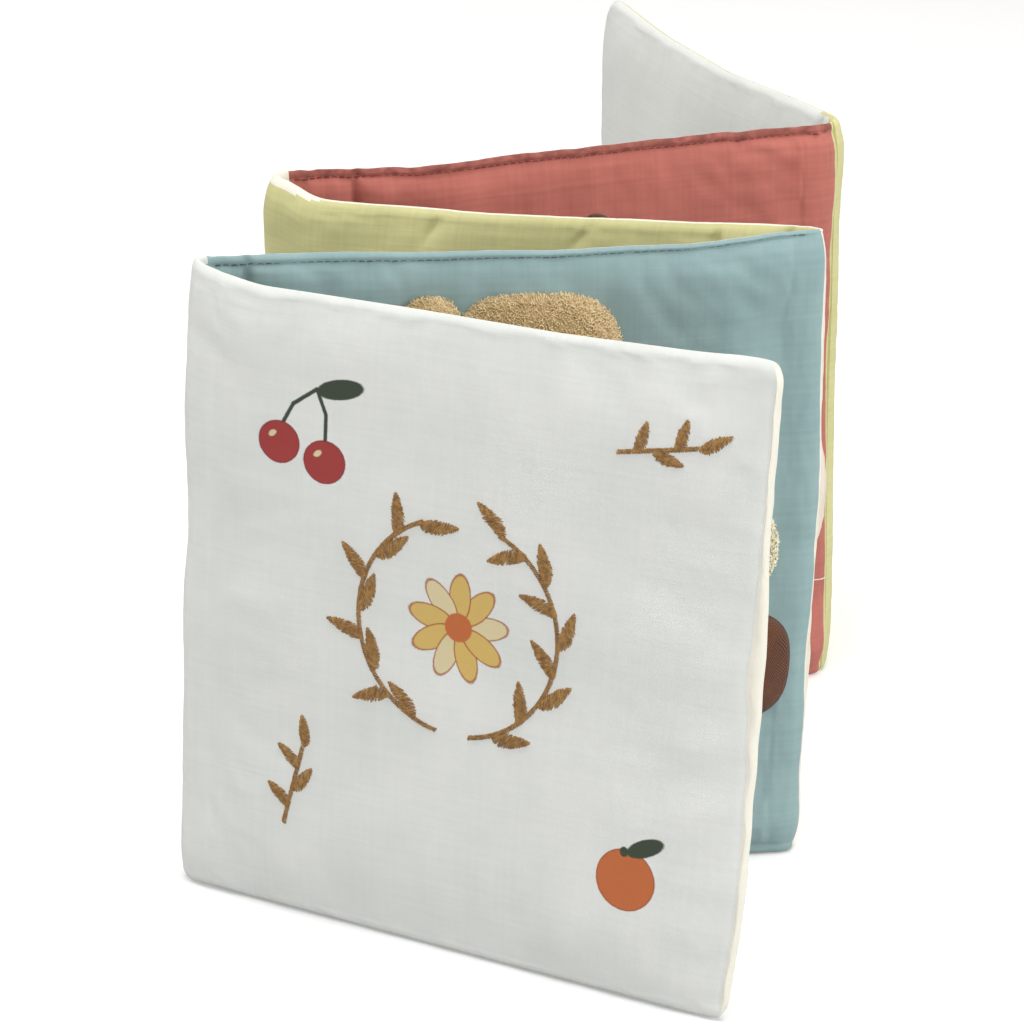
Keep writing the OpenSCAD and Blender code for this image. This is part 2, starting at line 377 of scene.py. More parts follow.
def cotton(name, light, deep, slub=0.5, relief=1.0, hem_shade=0.0):
    """Woven cotton between a light and a deep tone. Returns the material, tree, shader and colour.

    The last argument says how much painted shade darkens the rolled hem above the stitched row, in ragged patches,
    standing in for the shadow that falls on the roll.
    """
    material, tree, shader = new_material(name, 0.88, 0.12)
    vector, along, up = cloth_place(tree)
    patches = noise(tree, vector, (1, 1, 1), 26.0, 4.0)
    weft = noise(tree, vector, (22, 1, 620), 1.0, 3.0)
    warp = noise(tree, vector, (620, 1, 22), 1.0, 3.0)
    across = (along * (2 * math.pi / YARN)).maths("SINE")
    upward = (up * (2 * math.pi / YARN)).maths("SINE")
    weave = across * upward
    tone = patches * 0.7 + weft * slub * 0.8 + warp * slub * 0.55 + weave * 0.05 - (0.35 + slub * 0.675 - 0.5)
    colour = mixed(tree, tone.soft_step(0.15, 0.95), light, deep)
    # Painted shade: the rolled hem above the top stitched row is darkened in ragged patches, in place of the shadow on
    # the roll.
    if hem_shade:
        ragged = noise(tree, vector, (260, 1, 420), 1.0, 3.0)
        shaded_hem_line = up * 1000 - (HEIGHT - STITCH_INSET + 0.3) + (ragged - 0.5) * 2.4
        share = shaded_hem_line.soft_step(-0.2, 0.5) * (ragged * 1.5 - 0.1) * hem_shade
        colour = mixed(tree, share.soft_step(0.0, 1.0), colour, tuple(c * 0.42 for c in deep[:3]) + (1.0,))
    height = weave * 0.3 + weft * 0.9 + warp * 0.6
    values = {"Strength": 0.35 * relief, "Distance": 0.00045, "Height": height}
    bump = add_node(tree, "ShaderNodeBump", values=values)
    tree.links.new(bump.socket, shader.inputs["Normal"])
    tree.links.new(colour.socket, shader.inputs["Base Color"])
    return material, tree, shader, colour


FINISH = {}
WHITE, SOFT_WHITE = linear(228, 229, 226), linear(210, 213, 209)
FINISH["white"] = cotton("white_cotton_plain", WHITE, SOFT_WHITE, 0.38)[0]
FINISH["cream"] = cotton("cream_cotton", linear(240, 237, 224), linear(230, 226, 212), 0.35)[0]
FINISH["blue"] = cotton("blue_cotton", linear(154, 179, 181), linear(126, 153, 155), 0.5)[0]
FINISH["green"] = cotton("green_cotton", linear(218, 214, 158), linear(186, 183, 128), 0.55)[0]
# The red cotton carries painted shade on its rolled top hem.
FINISH["red"] = cotton("red_cotton", linear(196, 117, 105), linear(158, 88, 79), 0.5, hem_shade=0.8)[0]
print("cotton finishes:", sorted(FINISH))

# %% [markdown]
# The printed cover
# The print is three simple motifs in flat ink: a daisy, two cherries and a round orange. Each is a few
# discs and ovals, drawn by distance in the cloth's own millimetres, with an edge that bleeds a little.

# %% Printed motifs
material, tree, shader, cloth_colour = cotton("printed_white_cotton", WHITE, SOFT_WHITE, 0.38)
vector, along, up = cloth_place(tree)
bleed = (noise(tree, vector, (1, 1, 1), 1100.0, 2.0) - 0.5) * 0.3
print_u = COVER - along / MM
print_v = up / MM
INK = {
    "leaf": linear(62, 72, 58),
    "red": linear(158, 62, 60),
    "dark_red": linear(118, 42, 44),
    "yellow": linear(208, 176, 104),
    "pale": linear(214, 200, 160),
    "orange": linear(190, 106, 62),
    "dark_orange": linear(158, 84, 48),
}


def oval(x, y, wide, tall, turn=0.0):
    """Distance, in mm and below 0 inside, from an oval's edge."""
    cos, sin = math.cos(math.radians(turn)), math.sin(math.radians(turn))
    across = (print_u - x) * (cos / wide) + (print_v - y) * (sin / wide)
    upward = (print_u - x) * (-sin / tall) + (print_v - y) * (cos / tall)
    return ((across * across + upward * upward).maths("SQRT") - 1) * min(wide, tall)


def stroke(start, end, wide):
    """Distance, in mm and below 0 inside, from a straight stroke with round ends."""
    run, rise = end[0] - start[0], end[1] - start[1]
    from_u, from_v = print_u - start[0], print_v - start[1]
    share = (from_u * run + from_v * rise) / (run * run + rise * rise)
    share = share.maths("MINIMUM", 1.0).maths("MAXIMUM", 0.0)
    away_u, away_v = from_u - share * run, from_v - share * rise
    return (away_u * away_u + away_v * away_v).maths("SQRT") - wide / 2


def stamped(colour, distance, ink, grow=0.0):
    """The colour with ink laid where the distance is below grow."""
    mask = 1 - (distance + bleed - grow).soft_step(-0.25, 0.25)
    return mixed(tree, mask, colour, ink)


DAISY = (98.0, 104.0)
inked = cloth_colour
for petal in range(9):
    turn = petal * 40 + 8
    x = DAISY[0] + 9.5 * math.cos(math.radians(turn))
    y = DAISY[1] + 9.5 * math.sin(math.radians(turn))
    inked = stamped(inked, oval(x, y, 7.2, 3.4, turn), INK["dark_orange"], 0.35)
    inked = stamped(inked, oval(x, y, 7.2, 3.4, turn), INK["yellow"] if petal % 3 else INK["pale"])
inked = stamped(inked, oval(*DAISY, 4.6, 4.6), INK["orange"])
CHERRIES = ((34.0, 152.0), (50.0, 148.0))
STALK_TOP = (47.0, 171.0)
for cherry in CHERRIES:
    foot = (cherry[0], cherry[1] + 4)
    bow = 1.6 if cherry[0] < STALK_TOP[0] - 5 else -1.6
    knee = ((foot[0] + STALK_TOP[0]) / 2 - bow, (foot[1] + STALK_TOP[1]) / 2 + abs(bow))
    for low, high in ((foot, knee), (knee, STALK_TOP)):
        inked = stamped(inked, stroke(low, high, 1.3), INK["leaf"])
    inked = stamped(inked, oval(*cherry, 7.0, 6.6), INK["dark_red"], 0.3)
    inked = stamped(inked, oval(*cherry, 7.0, 6.6), INK["red"])
    inked = stamped(inked, oval(cherry[0] - 2.4, cherry[1] + 2.4, 1.5, 0.9, 35), INK["pale"])
inked = stamped(inked, oval(55, 172, 8.2, 3.3, 12), INK["leaf"])
ORANGE = (160.0, 38.0)
inked = stamped(inked, oval(*ORANGE, 9.6, 9.2), INK["dark_orange"], 0.4)
inked = stamped(inked, oval(*ORANGE, 9.6, 9.2), INK["orange"])
inked = stamped(inked, oval(ORANGE[0] + 6, ORANGE[1] + 11, 6.6, 2.7, 24), INK["leaf"])
inked = stamped(inked, oval(ORANGE[0] - 1, ORANGE[1] + 8.6, 1.4, 1.6), INK["leaf"])
tree.links.new(inked.socket, shader.inputs["Base Color"])
FINISH["printed"] = material
print("printed cover nodes:", len(tree.nodes))

# %% [markdown]
# The other finishes
# Plush and fleece are yarn loops with light tips, twill has a slanted rib, felt is matt and fibrous,
# jersey has fine columns, and thread twists. Each small finish varies over the piece.

# %% Small finishes
def yarn(name, light, deep, scale, roughness=0.85, sheen=0.3):
    """Loose yarn whose tone varies from loop to loop."""
    material, tree, shader = new_material(name, roughness, sheen)
    spots = noise(tree, object_place(tree), (1, 1, 1), scale, 3.0, 0.7)
    colour = mixed(tree, spots.soft_step(0.3, 0.7), light, deep)
    fibre = noise(tree, object_place(tree), (1, 1, 1), scale * 6, 2.0)
    values = {"Strength": 0.3, "Distance": 0.0002, "Height": fibre}
    bump = add_node(tree, "ShaderNodeBump", values=values)
    tree.links.new(bump.socket, shader.inputs["Normal"])
    tree.links.new(colour.socket, shader.inputs["Base Color"])
    return material


def ribbed(name, light, deep, rib, slant, depth=0.0004):
    """Cloth with even ribs: twill where they slant, jersey where they stand."""
    material, tree, shader = new_material(name, 0.85, 0.1)
    vector, along, up = cloth_place(tree)
    wander = noise(tree, vector, (1, 1, 1), 120.0, 3.0) * 0.3
    ribs = ((along + up * slant) * (2 * math.pi / (rib * MM)) + wander * 3).maths("SINE") * 0.5 + 0.5
    threads = ((up - along * slant) * (2 * math.pi / (rib * MM))).maths("SINE") * 0.5 + 0.5
    patches = noise(tree, vector, (1, 1, 1), 60.0, 4.0)
    colour = mixed(tree, (ribs * 0.45 + patches * 0.75 - 0.1).soft_step(0.0, 1.0), light, deep)
    values = {"Strength": 0.6, "Distance": depth, "Height": ribs + threads * 0.4}
    bump = add_node(tree, "ShaderNodeBump", values=values)
    tree.links.new(bump.socket, shader.inputs["Normal"])
    tree.links.new(colour.socket, shader.inputs["Base Color"])
    return material


def woven(name, light, deep, pitch):
    """Coarse cloth whose raised yarn crossings are painted lighter and the hollows between them darker, a painted
    highlight and painted shade over its own patchy tone.
    """
    material, tree, shader = new_material(name, 0.8, 0.1)
    vector, along, up = cloth_place(tree)
    wander = noise(tree, vector, (1, 1, 1), 140.0, 2.0) * 0.3
    turns = 2 * math.pi / (pitch * MM)
    rising = ((along + up * 0.6) * turns + wander * 3).maths("SINE") * 0.5 + 0.5
    falling = ((up - along * 0.6) * turns + wander * 3).maths("SINE") * 0.5 + 0.5
    patches = noise(tree, vector, (1, 1, 1), 70.0, 4.0)
    crossing = rising * falling
    # Painted highlight on the raised crossings and painted shade between them, over the cloth's own patches.
    colour = mixed(tree, (crossing * 0.9 + patches * 0.5 - 0.2).soft_step(0.0, 1.0), deep, light)
    values = {"Strength": 0.8, "Distance": 0.0004, "Height": crossing}
    bump = add_node(tree, "ShaderNodeBump", values=values)
    tree.links.new(bump.socket, shader.inputs["Normal"])
    tree.links.new(colour.socket, shader.inputs["Base Color"])
    return material


FINISH["plush"] = yarn("tan_plush_loops", linear(238, 216, 172), linear(206, 180, 132), 420.0)
FINISH["plush_ground"] = yarn("tan_plush_ground", linear(206, 180, 134), linear(178, 150, 104), 300.0)
FINISH["fleece"] = yarn("cream_fleece_curls", linear(236, 230, 204), linear(214, 206, 176), 300.0)
FINISH["fleece_ground"] = yarn("cream_fleece_ground", linear(220, 212, 184), linear(200, 192, 162), 300.0)
FINISH["twill"] = woven("brown_twill", linear(166, 108, 76), linear(70, 40, 26), 0.66)
FINISH["felt"] = yarn("brown_felt", linear(104, 62, 42), linear(72, 40, 28), 500.0, 0.95)
FINISH["jersey"] = ribbed("pale_jersey", linear(232, 222, 208), linear(220, 208, 194), 0.7, 0.0, 0.0001)
FINISH["gold"] = yarn("gold_thread", linear(176, 132, 66), linear(122, 84, 38), 700.0, 0.55, 0.1)
FINISH["gold"].node_tree.nodes["Principled BSDF"].inputs["Specular IOR Level"].default_value = 0.6
for colour_name, shades in {
    "blue_thread": ((96, 120, 126), (70, 92, 100)),
    "red_thread": ((140, 64, 56), (112, 46, 42)),
    "green_thread": ((160, 156, 104), (130, 126, 80)),
    "white_thread": ((230, 228, 220), (206, 204, 196)),
}.items():
    FINISH[colour_name] = yarn(colour_name, linear(*shades[0]), linear(*shades[1]), 900.0, 0.7, 0.1)
print("finishes:", len(FINISH))

# %% [markdown]
# Mesh helpers
# Every piece is worked out in millimetres with numpy and becomes a mesh in metres at the origin.

# %% Make a mesh
def make_mesh(name, points, faces, finishes, face_finish=None, cloth=None):
    """A mesh object in metres from points in mm. finishes are names in FINISH."""
    mesh = bpy.data.meshes.new(name)
    mesh.from_pydata((np.asarray(points) * MM).tolist(), [], [tuple(int(i) for i in f) for f in faces])
    for finish in finishes:
        mesh.materials.append(FINISH[finish])
    if face_finish is not None:
        mesh.polygons.foreach_set("material_index", np.asarray(face_finish, np.int32))
    mesh.polygons.foreach_set("use_smooth", [True] * len(mesh.polygons))
    if cloth is not None:
        attribute = mesh.attributes.new("cloth", "FLOAT_VECTOR", "POINT")
        attribute.data.foreach_set("vector", (np.asarray(cloth) * MM).ravel())
    mesh.update()
    made = bpy.data.objects.new(name, mesh)
    bpy.context.scene.collection.objects.link(made)
    return made


def applied(obj):
    """Turns the object's live modifiers into its plain mesh."""
    graph = bpy.context.evaluated_depsgraph_get()
    mesh = bpy.data.meshes.new_from_object(obj.evaluated_get(graph), depsgraph=graph)
    old = obj.data
    obj.modifiers.clear()
    obj.data = mesh
    mesh.name = obj.name
    bpy.data.meshes.remove(old)
    return obj


# %% [markdown]
# The padded panels
# Each panel is two layers of cotton sewn round wadding. Both layers share one grid of lines, close together
# at the rims and the stitched rows and wide in the middle. A panel ends at a rolled free edge or runs
# into a fold, where it meets the next panel in a plain cut.

# %% Lines and thickness of a panel
RIM_LINES = (0.0, 0.3, 0.9, 1.7, 2.5, 3.2, 3.9, 5.0, 6.8, 9.0)
FOLD_LINES = (0.0, 1.8, 3.0, 4.0, 5.0, 6.0, 7.2, 8.4, 9.6, 11.0)
STEP = 3.0
FOLD_HALF = 2.3
COLUMN_DEPTH = 1.7
COLUMN_WIDTH = 1.2


def lines_between(length, first, last, columns=()):
    """Grid lines from 0 to length, with close ones at both ends and round each stitched column."""
    column_lines = [c + d for c in columns for d in (-1.8, -0.9, 0.0, 0.9, 1.8, 3.4)]
    fixed = list(first) + [length - d for d in reversed(last)] + column_lines
    keep = lambda v: all(v < c - 2.4 or v > c + 4.4 for c in columns) or v in column_lines
    fixed = sorted(v for v in fixed if keep(v))
    lines = [fixed[0]]
    for value in fixed[1:]:
        parts = max(1, round((value - lines[-1]) / STEP)) if value - lines[-1] > 4.0 else 1
        lines += list(np.linspace(lines[-1], value, parts + 1)[1:])
    return np.array(lines)


def fullness(distance, reach=SWELL, power=2.6):
    """How far the wadding has swollen at a distance from a seam, 0 to 1."""
    return 1 - np.clip(1 - distance / reach, 0, 1) ** power


def rolled(distance, inset=0.0, reach=SWELL):
    """Share of the full thickness near a rolled edge, round at first and swelling after the inset."""
    circle = np.sqrt(np.clip(1 - (1 - np.clip(distance / ROLL, 0, 1)) ** 2, 0, 1))
    return ROLL_SHARE * circle + (1 - ROLL_SHARE) * fullness(np.clip(distance - inset, 0, None), reach)


def folded(distance, column):
    """Share of the full thickness near a fold, level up to the stitched column where there is one."""
    low = FOLD_HALF / HALF_PAD
    if column is None:
        return low + (1 - low) * fullness(distance, 26.0, 2.0)
    return low + (1 - low) * fullness(np.clip(distance - column, 0, None), 12.0)


def groove(distance, depth, width):
    return depth * np.exp(-(distance / width) ** 2)


# %% [markdown]
# Wrinkles by cloth simulation
# A fixed swelling looks like plastic. The two layers are cut three parts in a hundred too large and blown up
# by Blender's cloth solver with the seams pinned, so the spare cloth gathers. Only its wrinkles are kept,
# capped and laid over the measured swelling, so a panel keeps its real thickness.

# %% Simulate a panel
SPARE = 0.035
PRESSURE = 3.0
FRAMES = 20
WRINKLE_CAP = 1.1


def low_pass(values, spread):
    """The same grid with its short waves smoothed away."""
    reach = int(3 * spread)
    kernel = np.exp(-0.5 * (np.arange(-reach, reach + 1) / spread) ** 2)
    kernel /= kernel.sum()
    padded = np.pad(values, reach, mode="edge")
    padded = np.apply_along_axis(lambda v: np.convolve(v, kernel, "valid"), 0, padded)
    return np.apply_along_axis(lambda v: np.convolve(v, kernel, "valid"), 1, padded)


def simulate(points, faces, pinned):
    """Points of a closed pad after the cloth solver, in mm."""
    pad = make_mesh("simulated_pad", points, faces, [])
    group = pad.vertex_groups.new(name="seams")
    group.add([int(i) for i in pinned], 1.0, "REPLACE")
    cloth = pad.modifiers.new("Cloth", "CLOTH")
    settings = cloth.settings
    settings.quality = 5
    settings.mass = 0.15
    settings.tension_stiffness = 10
    settings.compression_stiffness = 2
    settings.shear_stiffness = 2
    settings.bending_stiffness = 0.03
    settings.use_pressure = True
    settings.uniform_pressure_force = PRESSURE
    settings.vertex_group_mass = "seams"
    settings.shrink_min = -SPARE
    settings.effector_weights.gravity = 0
    cloth.point_cache.frame_start = 1
    cloth.point_cache.frame_end = FRAMES
    for number in range(1, FRAMES + 1):
        bpy.context.scene.frame_set(number)
    graph = bpy.context.evaluated_depsgraph_get()
    moved = pad.evaluated_get(graph).to_mesh()
    result = np.zeros(len(moved.vertices) * 3)
    moved.vertices.foreach_get("co", result)
    bpy.data.objects.remove(pad)
    bpy.context.scene.frame_set(1)
    return result.reshape(-1, 3) / MM


# %% Build a panel
panels = {}


def build_panel(name, start, end, ends, columns, insets, reach, finishes, finish_of, cut_side, seed, wrinkle, shape,
                fine=()):
    """One padded panel of the strip from station start to station end.

    ends says free or fold at each end. columns gives, for the A and B side, the stitched columns' distance
    from the start and from the end, or None. insets gives each side's stitched row from the top and foot.
    finish_of(side, x, z) picks a finish, and shape(side, x, z, off) may move a side's surface.
    """
    length = end - start
    kinds = {"free": RIM_LINES, "fold": FOLD_LINES}
    all_columns = {c for pair in columns.values() for c in (pair[0], length - pair[1] if pair[1] else None) if c}
    all_columns = sorted(all_columns | set(fine))
    xs = lines_between(length, kinds[ends[0]], kinds[ends[1]], all_columns)
    zs = lines_between(HEIGHT, RIM_LINES, RIM_LINES)
    x, z = np.meshgrid(xs, zs)
    from_edge = np.minimum(z, HEIGHT - z)
    count = x.size
    ids = {"A": np.arange(count).reshape(x.shape)}
    own = np.ones(x.shape, bool)
    own[[0, -1], :] = False
    if ends[0] == "free":
        own[:, 0] = False
    if ends[1] == "free":
        own[:, -1] = False
    ids["B"] = ids["A"].copy()
    ids["B"][own] = count + np.arange(own.sum())
    offs, sign = {}, {"A": 1.0, "B": -1.0}
    for side in "AB":
        inset = insets[side]
        thick = HALF_PAD * rolled(from_edge, inset, reach)
        for end_number, from_end in enumerate((x, length - x)):
            if ends[end_number] == "free":
                thick = thick * rolled(from_end)
            else:
                column = columns[side][end_number]
                thick = thick * folded(from_end, column)
                if column:
                    thick = thick - groove(from_end - column, COLUMN_DEPTH, COLUMN_WIDTH) * rolled(from_edge)
        if inset:
            between = 1.0
            for end_number, from_end in enumerate((x, length - x)):
                between = between * np.clip((from_end - 6) / 6, 0, 1)
            thick = thick - groove(from_edge - inset, 0.75, 0.7) * between
        offs[side] = np.maximum(thick, 0.0)
    flat = np.stack([x, offs["A"], z], -1).reshape(-1, 3)
    flat = np.concatenate([flat, np.stack([x, -offs["B"], z], -1)[own]])
    faces, face_finish, caps = [], [], []
    rows, cols = x.shape
    for side in "AB":
        for j in range(rows - 1):
            for i in range(cols - 1):
                corners = (ids[side][j, i], ids[side][j + 1, i], ids[side][j + 1, i + 1], ids[side][j, i + 1])
                faces.append(corners if side == "A" else corners[::-1])
                middle = (xs[i] + xs[i + 1]) / 2, (zs[j] + zs[j + 1]) / 2
                face_finish.append(finishes.index(finish_of(side, *middle)))
    for end_number, column in ((0, 0), (1, cols - 1)):
        if ends[end_number] == "fold":
            for j in range(rows - 1):
                quad = [ids["A"][j, column], ids["B"][j, column], ids["B"][j + 1, column], ids["A"][j + 1, column]]
                if end_number:
                    quad = quad[::-1]
                quad = [v for k, v in enumerate(quad) if v != quad[k - 1]]
                caps.append(len(faces))
                faces.append(tuple(quad))
                face_finish.append(finishes.index(finish_of(cut_side, xs[column], (zs[j] + zs[j + 1]) / 2)))
    wrinkles = {side: np.zeros(x.shape) for side in "AB"}
    rng = np.random.default_rng(seed)
    rough = flat.copy()
    rough[:, 1] += 0.2 * rng.standard_normal(len(rough)) * (np.abs(flat[:, 1]) > 2.4)
    held = (from_edge <= max(insets.values()) + 0.8) | (x <= 0.9) | (x >= length - 0.9)
    for side in "AB":
        for end_number, from_end in enumerate((x, length - x)):
            reach = columns[side][end_number]
            if ends[end_number] == "fold":
                held = held | (from_end <= (reach or 3.0) + 0.1)
    pinned = np.unique(np.concatenate([ids["A"][held], ids["B"][held]]))
    after = simulate(rough, faces, pinned)
    for side in "AB":
        surface = sign[side] * after[ids[side].ravel(), 1].reshape(x.shape)
        wrinkles[side] = np.clip(surface - low_pass(surface, 5.0), -WRINKLE_CAP, WRINKLE_CAP)
    calm = np.clip((from_edge - max(insets.values()) * 0.6) / 3, 0, 1)
    points = np.zeros((len(flat), 3))
    cloth = np.zeros((len(flat), 3))
    grids = {}
    for side in "AB":
        shaped_x, off, shaped_z = shape(side, x, z, offs[side] + wrinkle[side] * wrinkles[side] * calm)
        for end_number, from_end in enumerate((x, length - x)):
            if ends[end_number] == "free":
                away = 1 - np.clip(from_end / CORNER, 0, 1)
                tall = 1 - np.clip(from_edge / CORNER, 0, 1)
                shaped_x = shaped_x + (CORNER * away * (1 - np.sqrt(1 - tall ** 2 / 2))) * (1 if end_number == 0 else -1)
                upper = np.where(z > HEIGHT / 2, -1, 1)
                shaped_z = shaped_z + CORNER * tall * (1 - np.sqrt(1 - away ** 2 / 2)) * upper
        grid = place(start + shaped_x, sign[side] * off, np.clip(shaped_z, 0, HEIGHT))
        grids[side] = grid
        use = np.ones(x.shape, bool) if side == "A" else own
        points[ids[side][use]] = grid[use]
        cloth[ids[side][use]] = np.stack([x, sign[side] * off, z], -1)[use]
    made = make_mesh(name, points, faces, finishes, face_finish, cloth)
    if caps:
        crease = made.data.attributes.new("crease_edge", "FLOAT", "EDGE")
        sharp = made.data.attributes.new("sharp_edge", "BOOLEAN", "EDGE")
        counts = {}
        for number in caps:
            for key in made.data.polygons[number].edge_keys:
                counts[key] = counts.get(key, 0) + 1
        for edge in made.data.edges:
            if counts.get(tuple(sorted(edge.vertices)), 0) == 1:
                crease.data[edge.index].value = 1.0
                sharp.data[edge.index].value = True
    smooth = made.modifiers.new("Smooth cloth", "SUBSURF")
    smooth.levels = smooth.render_levels = 1
    applied(made)
    panels[name] = {"object": made, "xs": xs, "zs": zs, "grids": grids, "start": start, "length": length}
    high = max(float(np.abs(wrinkles[side]).max()) for side in "AB")
    print(name, "length", round(length, 1), "faces", len(made.data.polygons), "wrinkles to", round(high, 2), "mm")
    return made


def on_cloth(name, side, x, z, lift=0.0):
    """Points lift mm above a side of a panel, at x along it and z up it, and the normals there."""
    panel = panels[name]
    xs, zs, grid = panel["xs"], panel["zs"], panel["grids"][side]
    x, z = np.broadcast_arrays(np.asarray(x, float), np.asarray(z, float))
    i = np.clip(np.searchsorted(xs, x) - 1, 0, len(xs) - 2)
    j = np.clip(np.searchsorted(zs, z) - 1, 0, len(zs) - 2)
    s = ((x - xs[i]) / (xs[i + 1] - xs[i]))[..., None]
    t = ((z - zs[j]) / (zs[j + 1] - zs[j]))[..., None]
    low = grid[j, i] * (1 - s) + grid[j, i + 1] * s
    high = grid[j + 1, i] * (1 - s) + grid[j + 1, i + 1] * s
    right = (grid[j, i + 1] - grid[j, i]) * (1 - t) + (grid[j + 1, i + 1] - grid[j + 1, i]) * t
    normal = np.cross(high - low, right)
    normal *= (1 if side == "A" else -1) / np.maximum(np.linalg.norm(normal, axis=-1, keepdims=True), 1e-9)
    return low * (1 - t) + high * t + normal * np.asarray(lift, float)[..., None], normal


# %% [markdown]
# The five panels
# The front cover is white outside and cream inside, with its seam turned a little onto the face at the free
# edge. The pages are blue, green and red on the sides that show their pictures.

# %% Front cover
FACE_SEAM = 3.2
SEAM_HEIGHTS = (0, 9, 37, 56, 74, 87, 102, 114, 128, 140, 161, 190, 200)
SEAM_ON_FACE = (1.8, 1.8, 0.9, 1.6, 1.6, 2.2, 4.2, 3.8, 2.7, 1.6, 0.8, 0.7, 0.9)
EDGE_OUT = (0.0, 0.2, 1.7, 3.0, 2.4, 2.5, 3.0, 2.7, 2.0, 1.2, 0.2, 0.0, 0.0)
seam_z = np.arange(-12.0, HEIGHT + 13.0)
seam_kernel = np.exp(-0.5 * (np.arange(-12, 13) / 5.0) ** 2)
seam_kernel /= seam_kernel.sum()


def up_the_seam(values, z):
    """Values measured up the free edge, smoothed."""
    known = np.interp(np.arange(-24.0, HEIGHT + 25.0), SEAM_HEIGHTS, values)
    return np.interp(z, seam_z, np.convolve(known, seam_kernel, "valid"))


def cover_shape(side, x, z, off):
    """The cream side puffs out past the seam at the free edge, and the face has slack places."""
    seam = up_the_seam(SEAM_ON_FACE, z)
    spread = np.clip((x - FACE_SEAM) / 14, 0, 1)
    spread = 1 - spread * spread * (3 - 2 * spread)
    at_seam = groove(x - FACE_SEAM, 0.95, 0.75) * np.clip(z / 6, 0, 1) * np.clip((HEIGHT - z) / 6, 0, 1)
    inner = np.clip(np.minimum(z, HEIGHT - z) / 10, 0, 1) * np.clip(x / 12, 0, 1)
    puckers = hills(z, x * 0.15, 5.5, 30, 12) * np.exp(-((x - 8) / 8) ** 2)
    long_puckers = hills(z + x * 0.1, x * 0.2, 17, 60, 13) * np.exp(-((x - 12) / 16) ** 2)
    slack = hills(x, z, 95, 60, 11)
    from_corner = COVER - x
    crease = np.exp(-((z - 181 + 0.45 * from_corner) / 3.6) ** 2) * np.exp(-((from_corner - 9) / 9) ** 2)
    moved = np.where(x < FACE_SEAM, x * seam / FACE_SEAM, x + (seam - FACE_SEAM) * spread)
    edge = np.exp(-(x / 7.0) ** 2)
    wavy = 0.35 * hills(z, z * 0, 24, 24, 5)
    moved = moved - (up_the_seam(EDGE_OUT, z) + wavy) * edge
    if side == "A":
        off = off - at_seam + (0.6 * slack + 0.28 * puckers + 0.55 * long_puckers) * inner - 1.0 * crease
    return moved, off, z


def front_cover_finish(side, x, z):
    if side == "A":
        return "cream" if x < FACE_SEAM else "printed"
    over_rim = z > HEIGHT - 2.5 and x > marks["front_spine"] - 14
    return "cream" if x < marks["front_spine"] - 8 or over_rim else "blue"


front_cover = build_panel(
    "front_cover_pad", marks["free_front"], marks["front_spine"], ("free", "fold"),
    {"A": (None, None), "B": (None, COLUMN_INSET)}, {"A": 0.0, "B": 0.0}, 22.0,
    ["printed", "cream", "blue"], front_cover_finish, "A", 21, {"A": 0.5, "B": 0.8}, cover_shape)

# %% First page
def page_shape(seed, ruffle, pucker=0.4, row_share=lambda x: 1.0 + 0 * x, ticks=()):
    """Puckers that run away from the stitched rows, and a ruffled roll above the top row.

    row_share says how much of its distance from the top the row keeps along the page. ticks are short
    creases that run down from the top on side A, each a place along the page and a slant.
    """
    def shape(side, x, z, off):
        if ticks and side == "A":
            off = off * (1 + 0.35 * (1 - np.exp(-(HEIGHT - z) / 6)) * np.clip(z / 12, 0, 1))
        for along, slant in ticks if side == "A" else ():
            fade = np.exp(-((HEIGHT - 6 - z) / 7) ** 2)
            off = off - 1.5 * np.exp(-((x - along - slant * (HEIGHT - z)) / 1.5) ** 2) * fade
        for from_row in (z - STITCH_INSET, HEIGHT - STITCH_INSET - z):
            inside = np.clip(from_row, 0, None)
            fade = np.exp(-inside / 9) * np.clip(from_row / 0.8, 0, 1)
            off = off + pucker * hills(x + inside * 0.12, inside * 0.3, 7.0, 20, seed) * fade
            beyond = np.clip(-from_row / STITCH_INSET, 0, 1) * np.clip(1 - beyond_rim(from_row), 0, 1)
            off = off + ruffle * hills(x, x * 0, 4.5, 4.5, seed + 1) * beyond
        off = off + 0.45 * hills(x, z, 80, 50, seed + 2) * np.clip(np.minimum(z, HEIGHT - z) / 14, 0, 1)
        drop = HEIGHT - z
        keep = row_share(x)
        lost = STITCH_INSET * (1 - keep) * np.exp(-np.clip(drop - STITCH_INSET, 0, None) / 12)
        z = HEIGHT - np.where(drop < STITCH_INSET, drop * keep, drop - lost)
        edge_wave = ruffle * 0.7 * hills(x, x * 0, 7, 7, seed + 3) + 0.3 * hills(x, x * 0, 55, 55, seed + 4)
        top = np.clip((z - HEIGHT + 9) / 9, 0, 1)
        return x, np.maximum(off, 0.0), z - 0.3 * top + edge_wave * top
    return shape


def beyond_rim(from_row):
    """1 at the very rim of the roll, so that both layers still meet there."""
    return np.clip((-from_row - STITCH_INSET + 0.6) / 0.6, 0, 1)


first_length = marks["first_fold"] - marks["front_spine"]


def first_finish(side, x, z):
    wrapped = x < 4.6 and z > HEIGHT - 2.5
    if side == "A" or wrapped:
        return "white"
    return "cream" if x > first_length - 1.8 else "blue"


first_page = build_panel(
    "first_page_pad", marks["front_spine"], marks["first_fold"], ("fold", "fold"),
    {"A": (None, 12.0), "B": (FIRST_COLUMN, None)}, {"A": STITCH_INSET, "B": STITCH_INSET}, 12.0,
    ["white", "blue", "cream"], first_finish, "A", 22, {"A": 0.8, "B": 0.8},
    page_shape(31, 0.32, 0.6, lambda x: 1.0 - 0.65 * np.clip(x / first_length, 0, 1) ** 1.5))

# %% Second page
TICKS = ((78.0, 0.85), (35.0, 0.05), (134.0, 0.5))
second_length = marks["second_fold"] - marks["first_fold"]


def second_finish(side, x, z):
    """The cream back shows over the top rim, more so beside the fold that the page ends in."""
    from_fold = second_length - x
    rim = 0.3 + 2.3 * np.clip((30 - from_fold) / 16, 0, 1)
    return "green" if side == "A" and z < HEIGHT - rim else "cream"


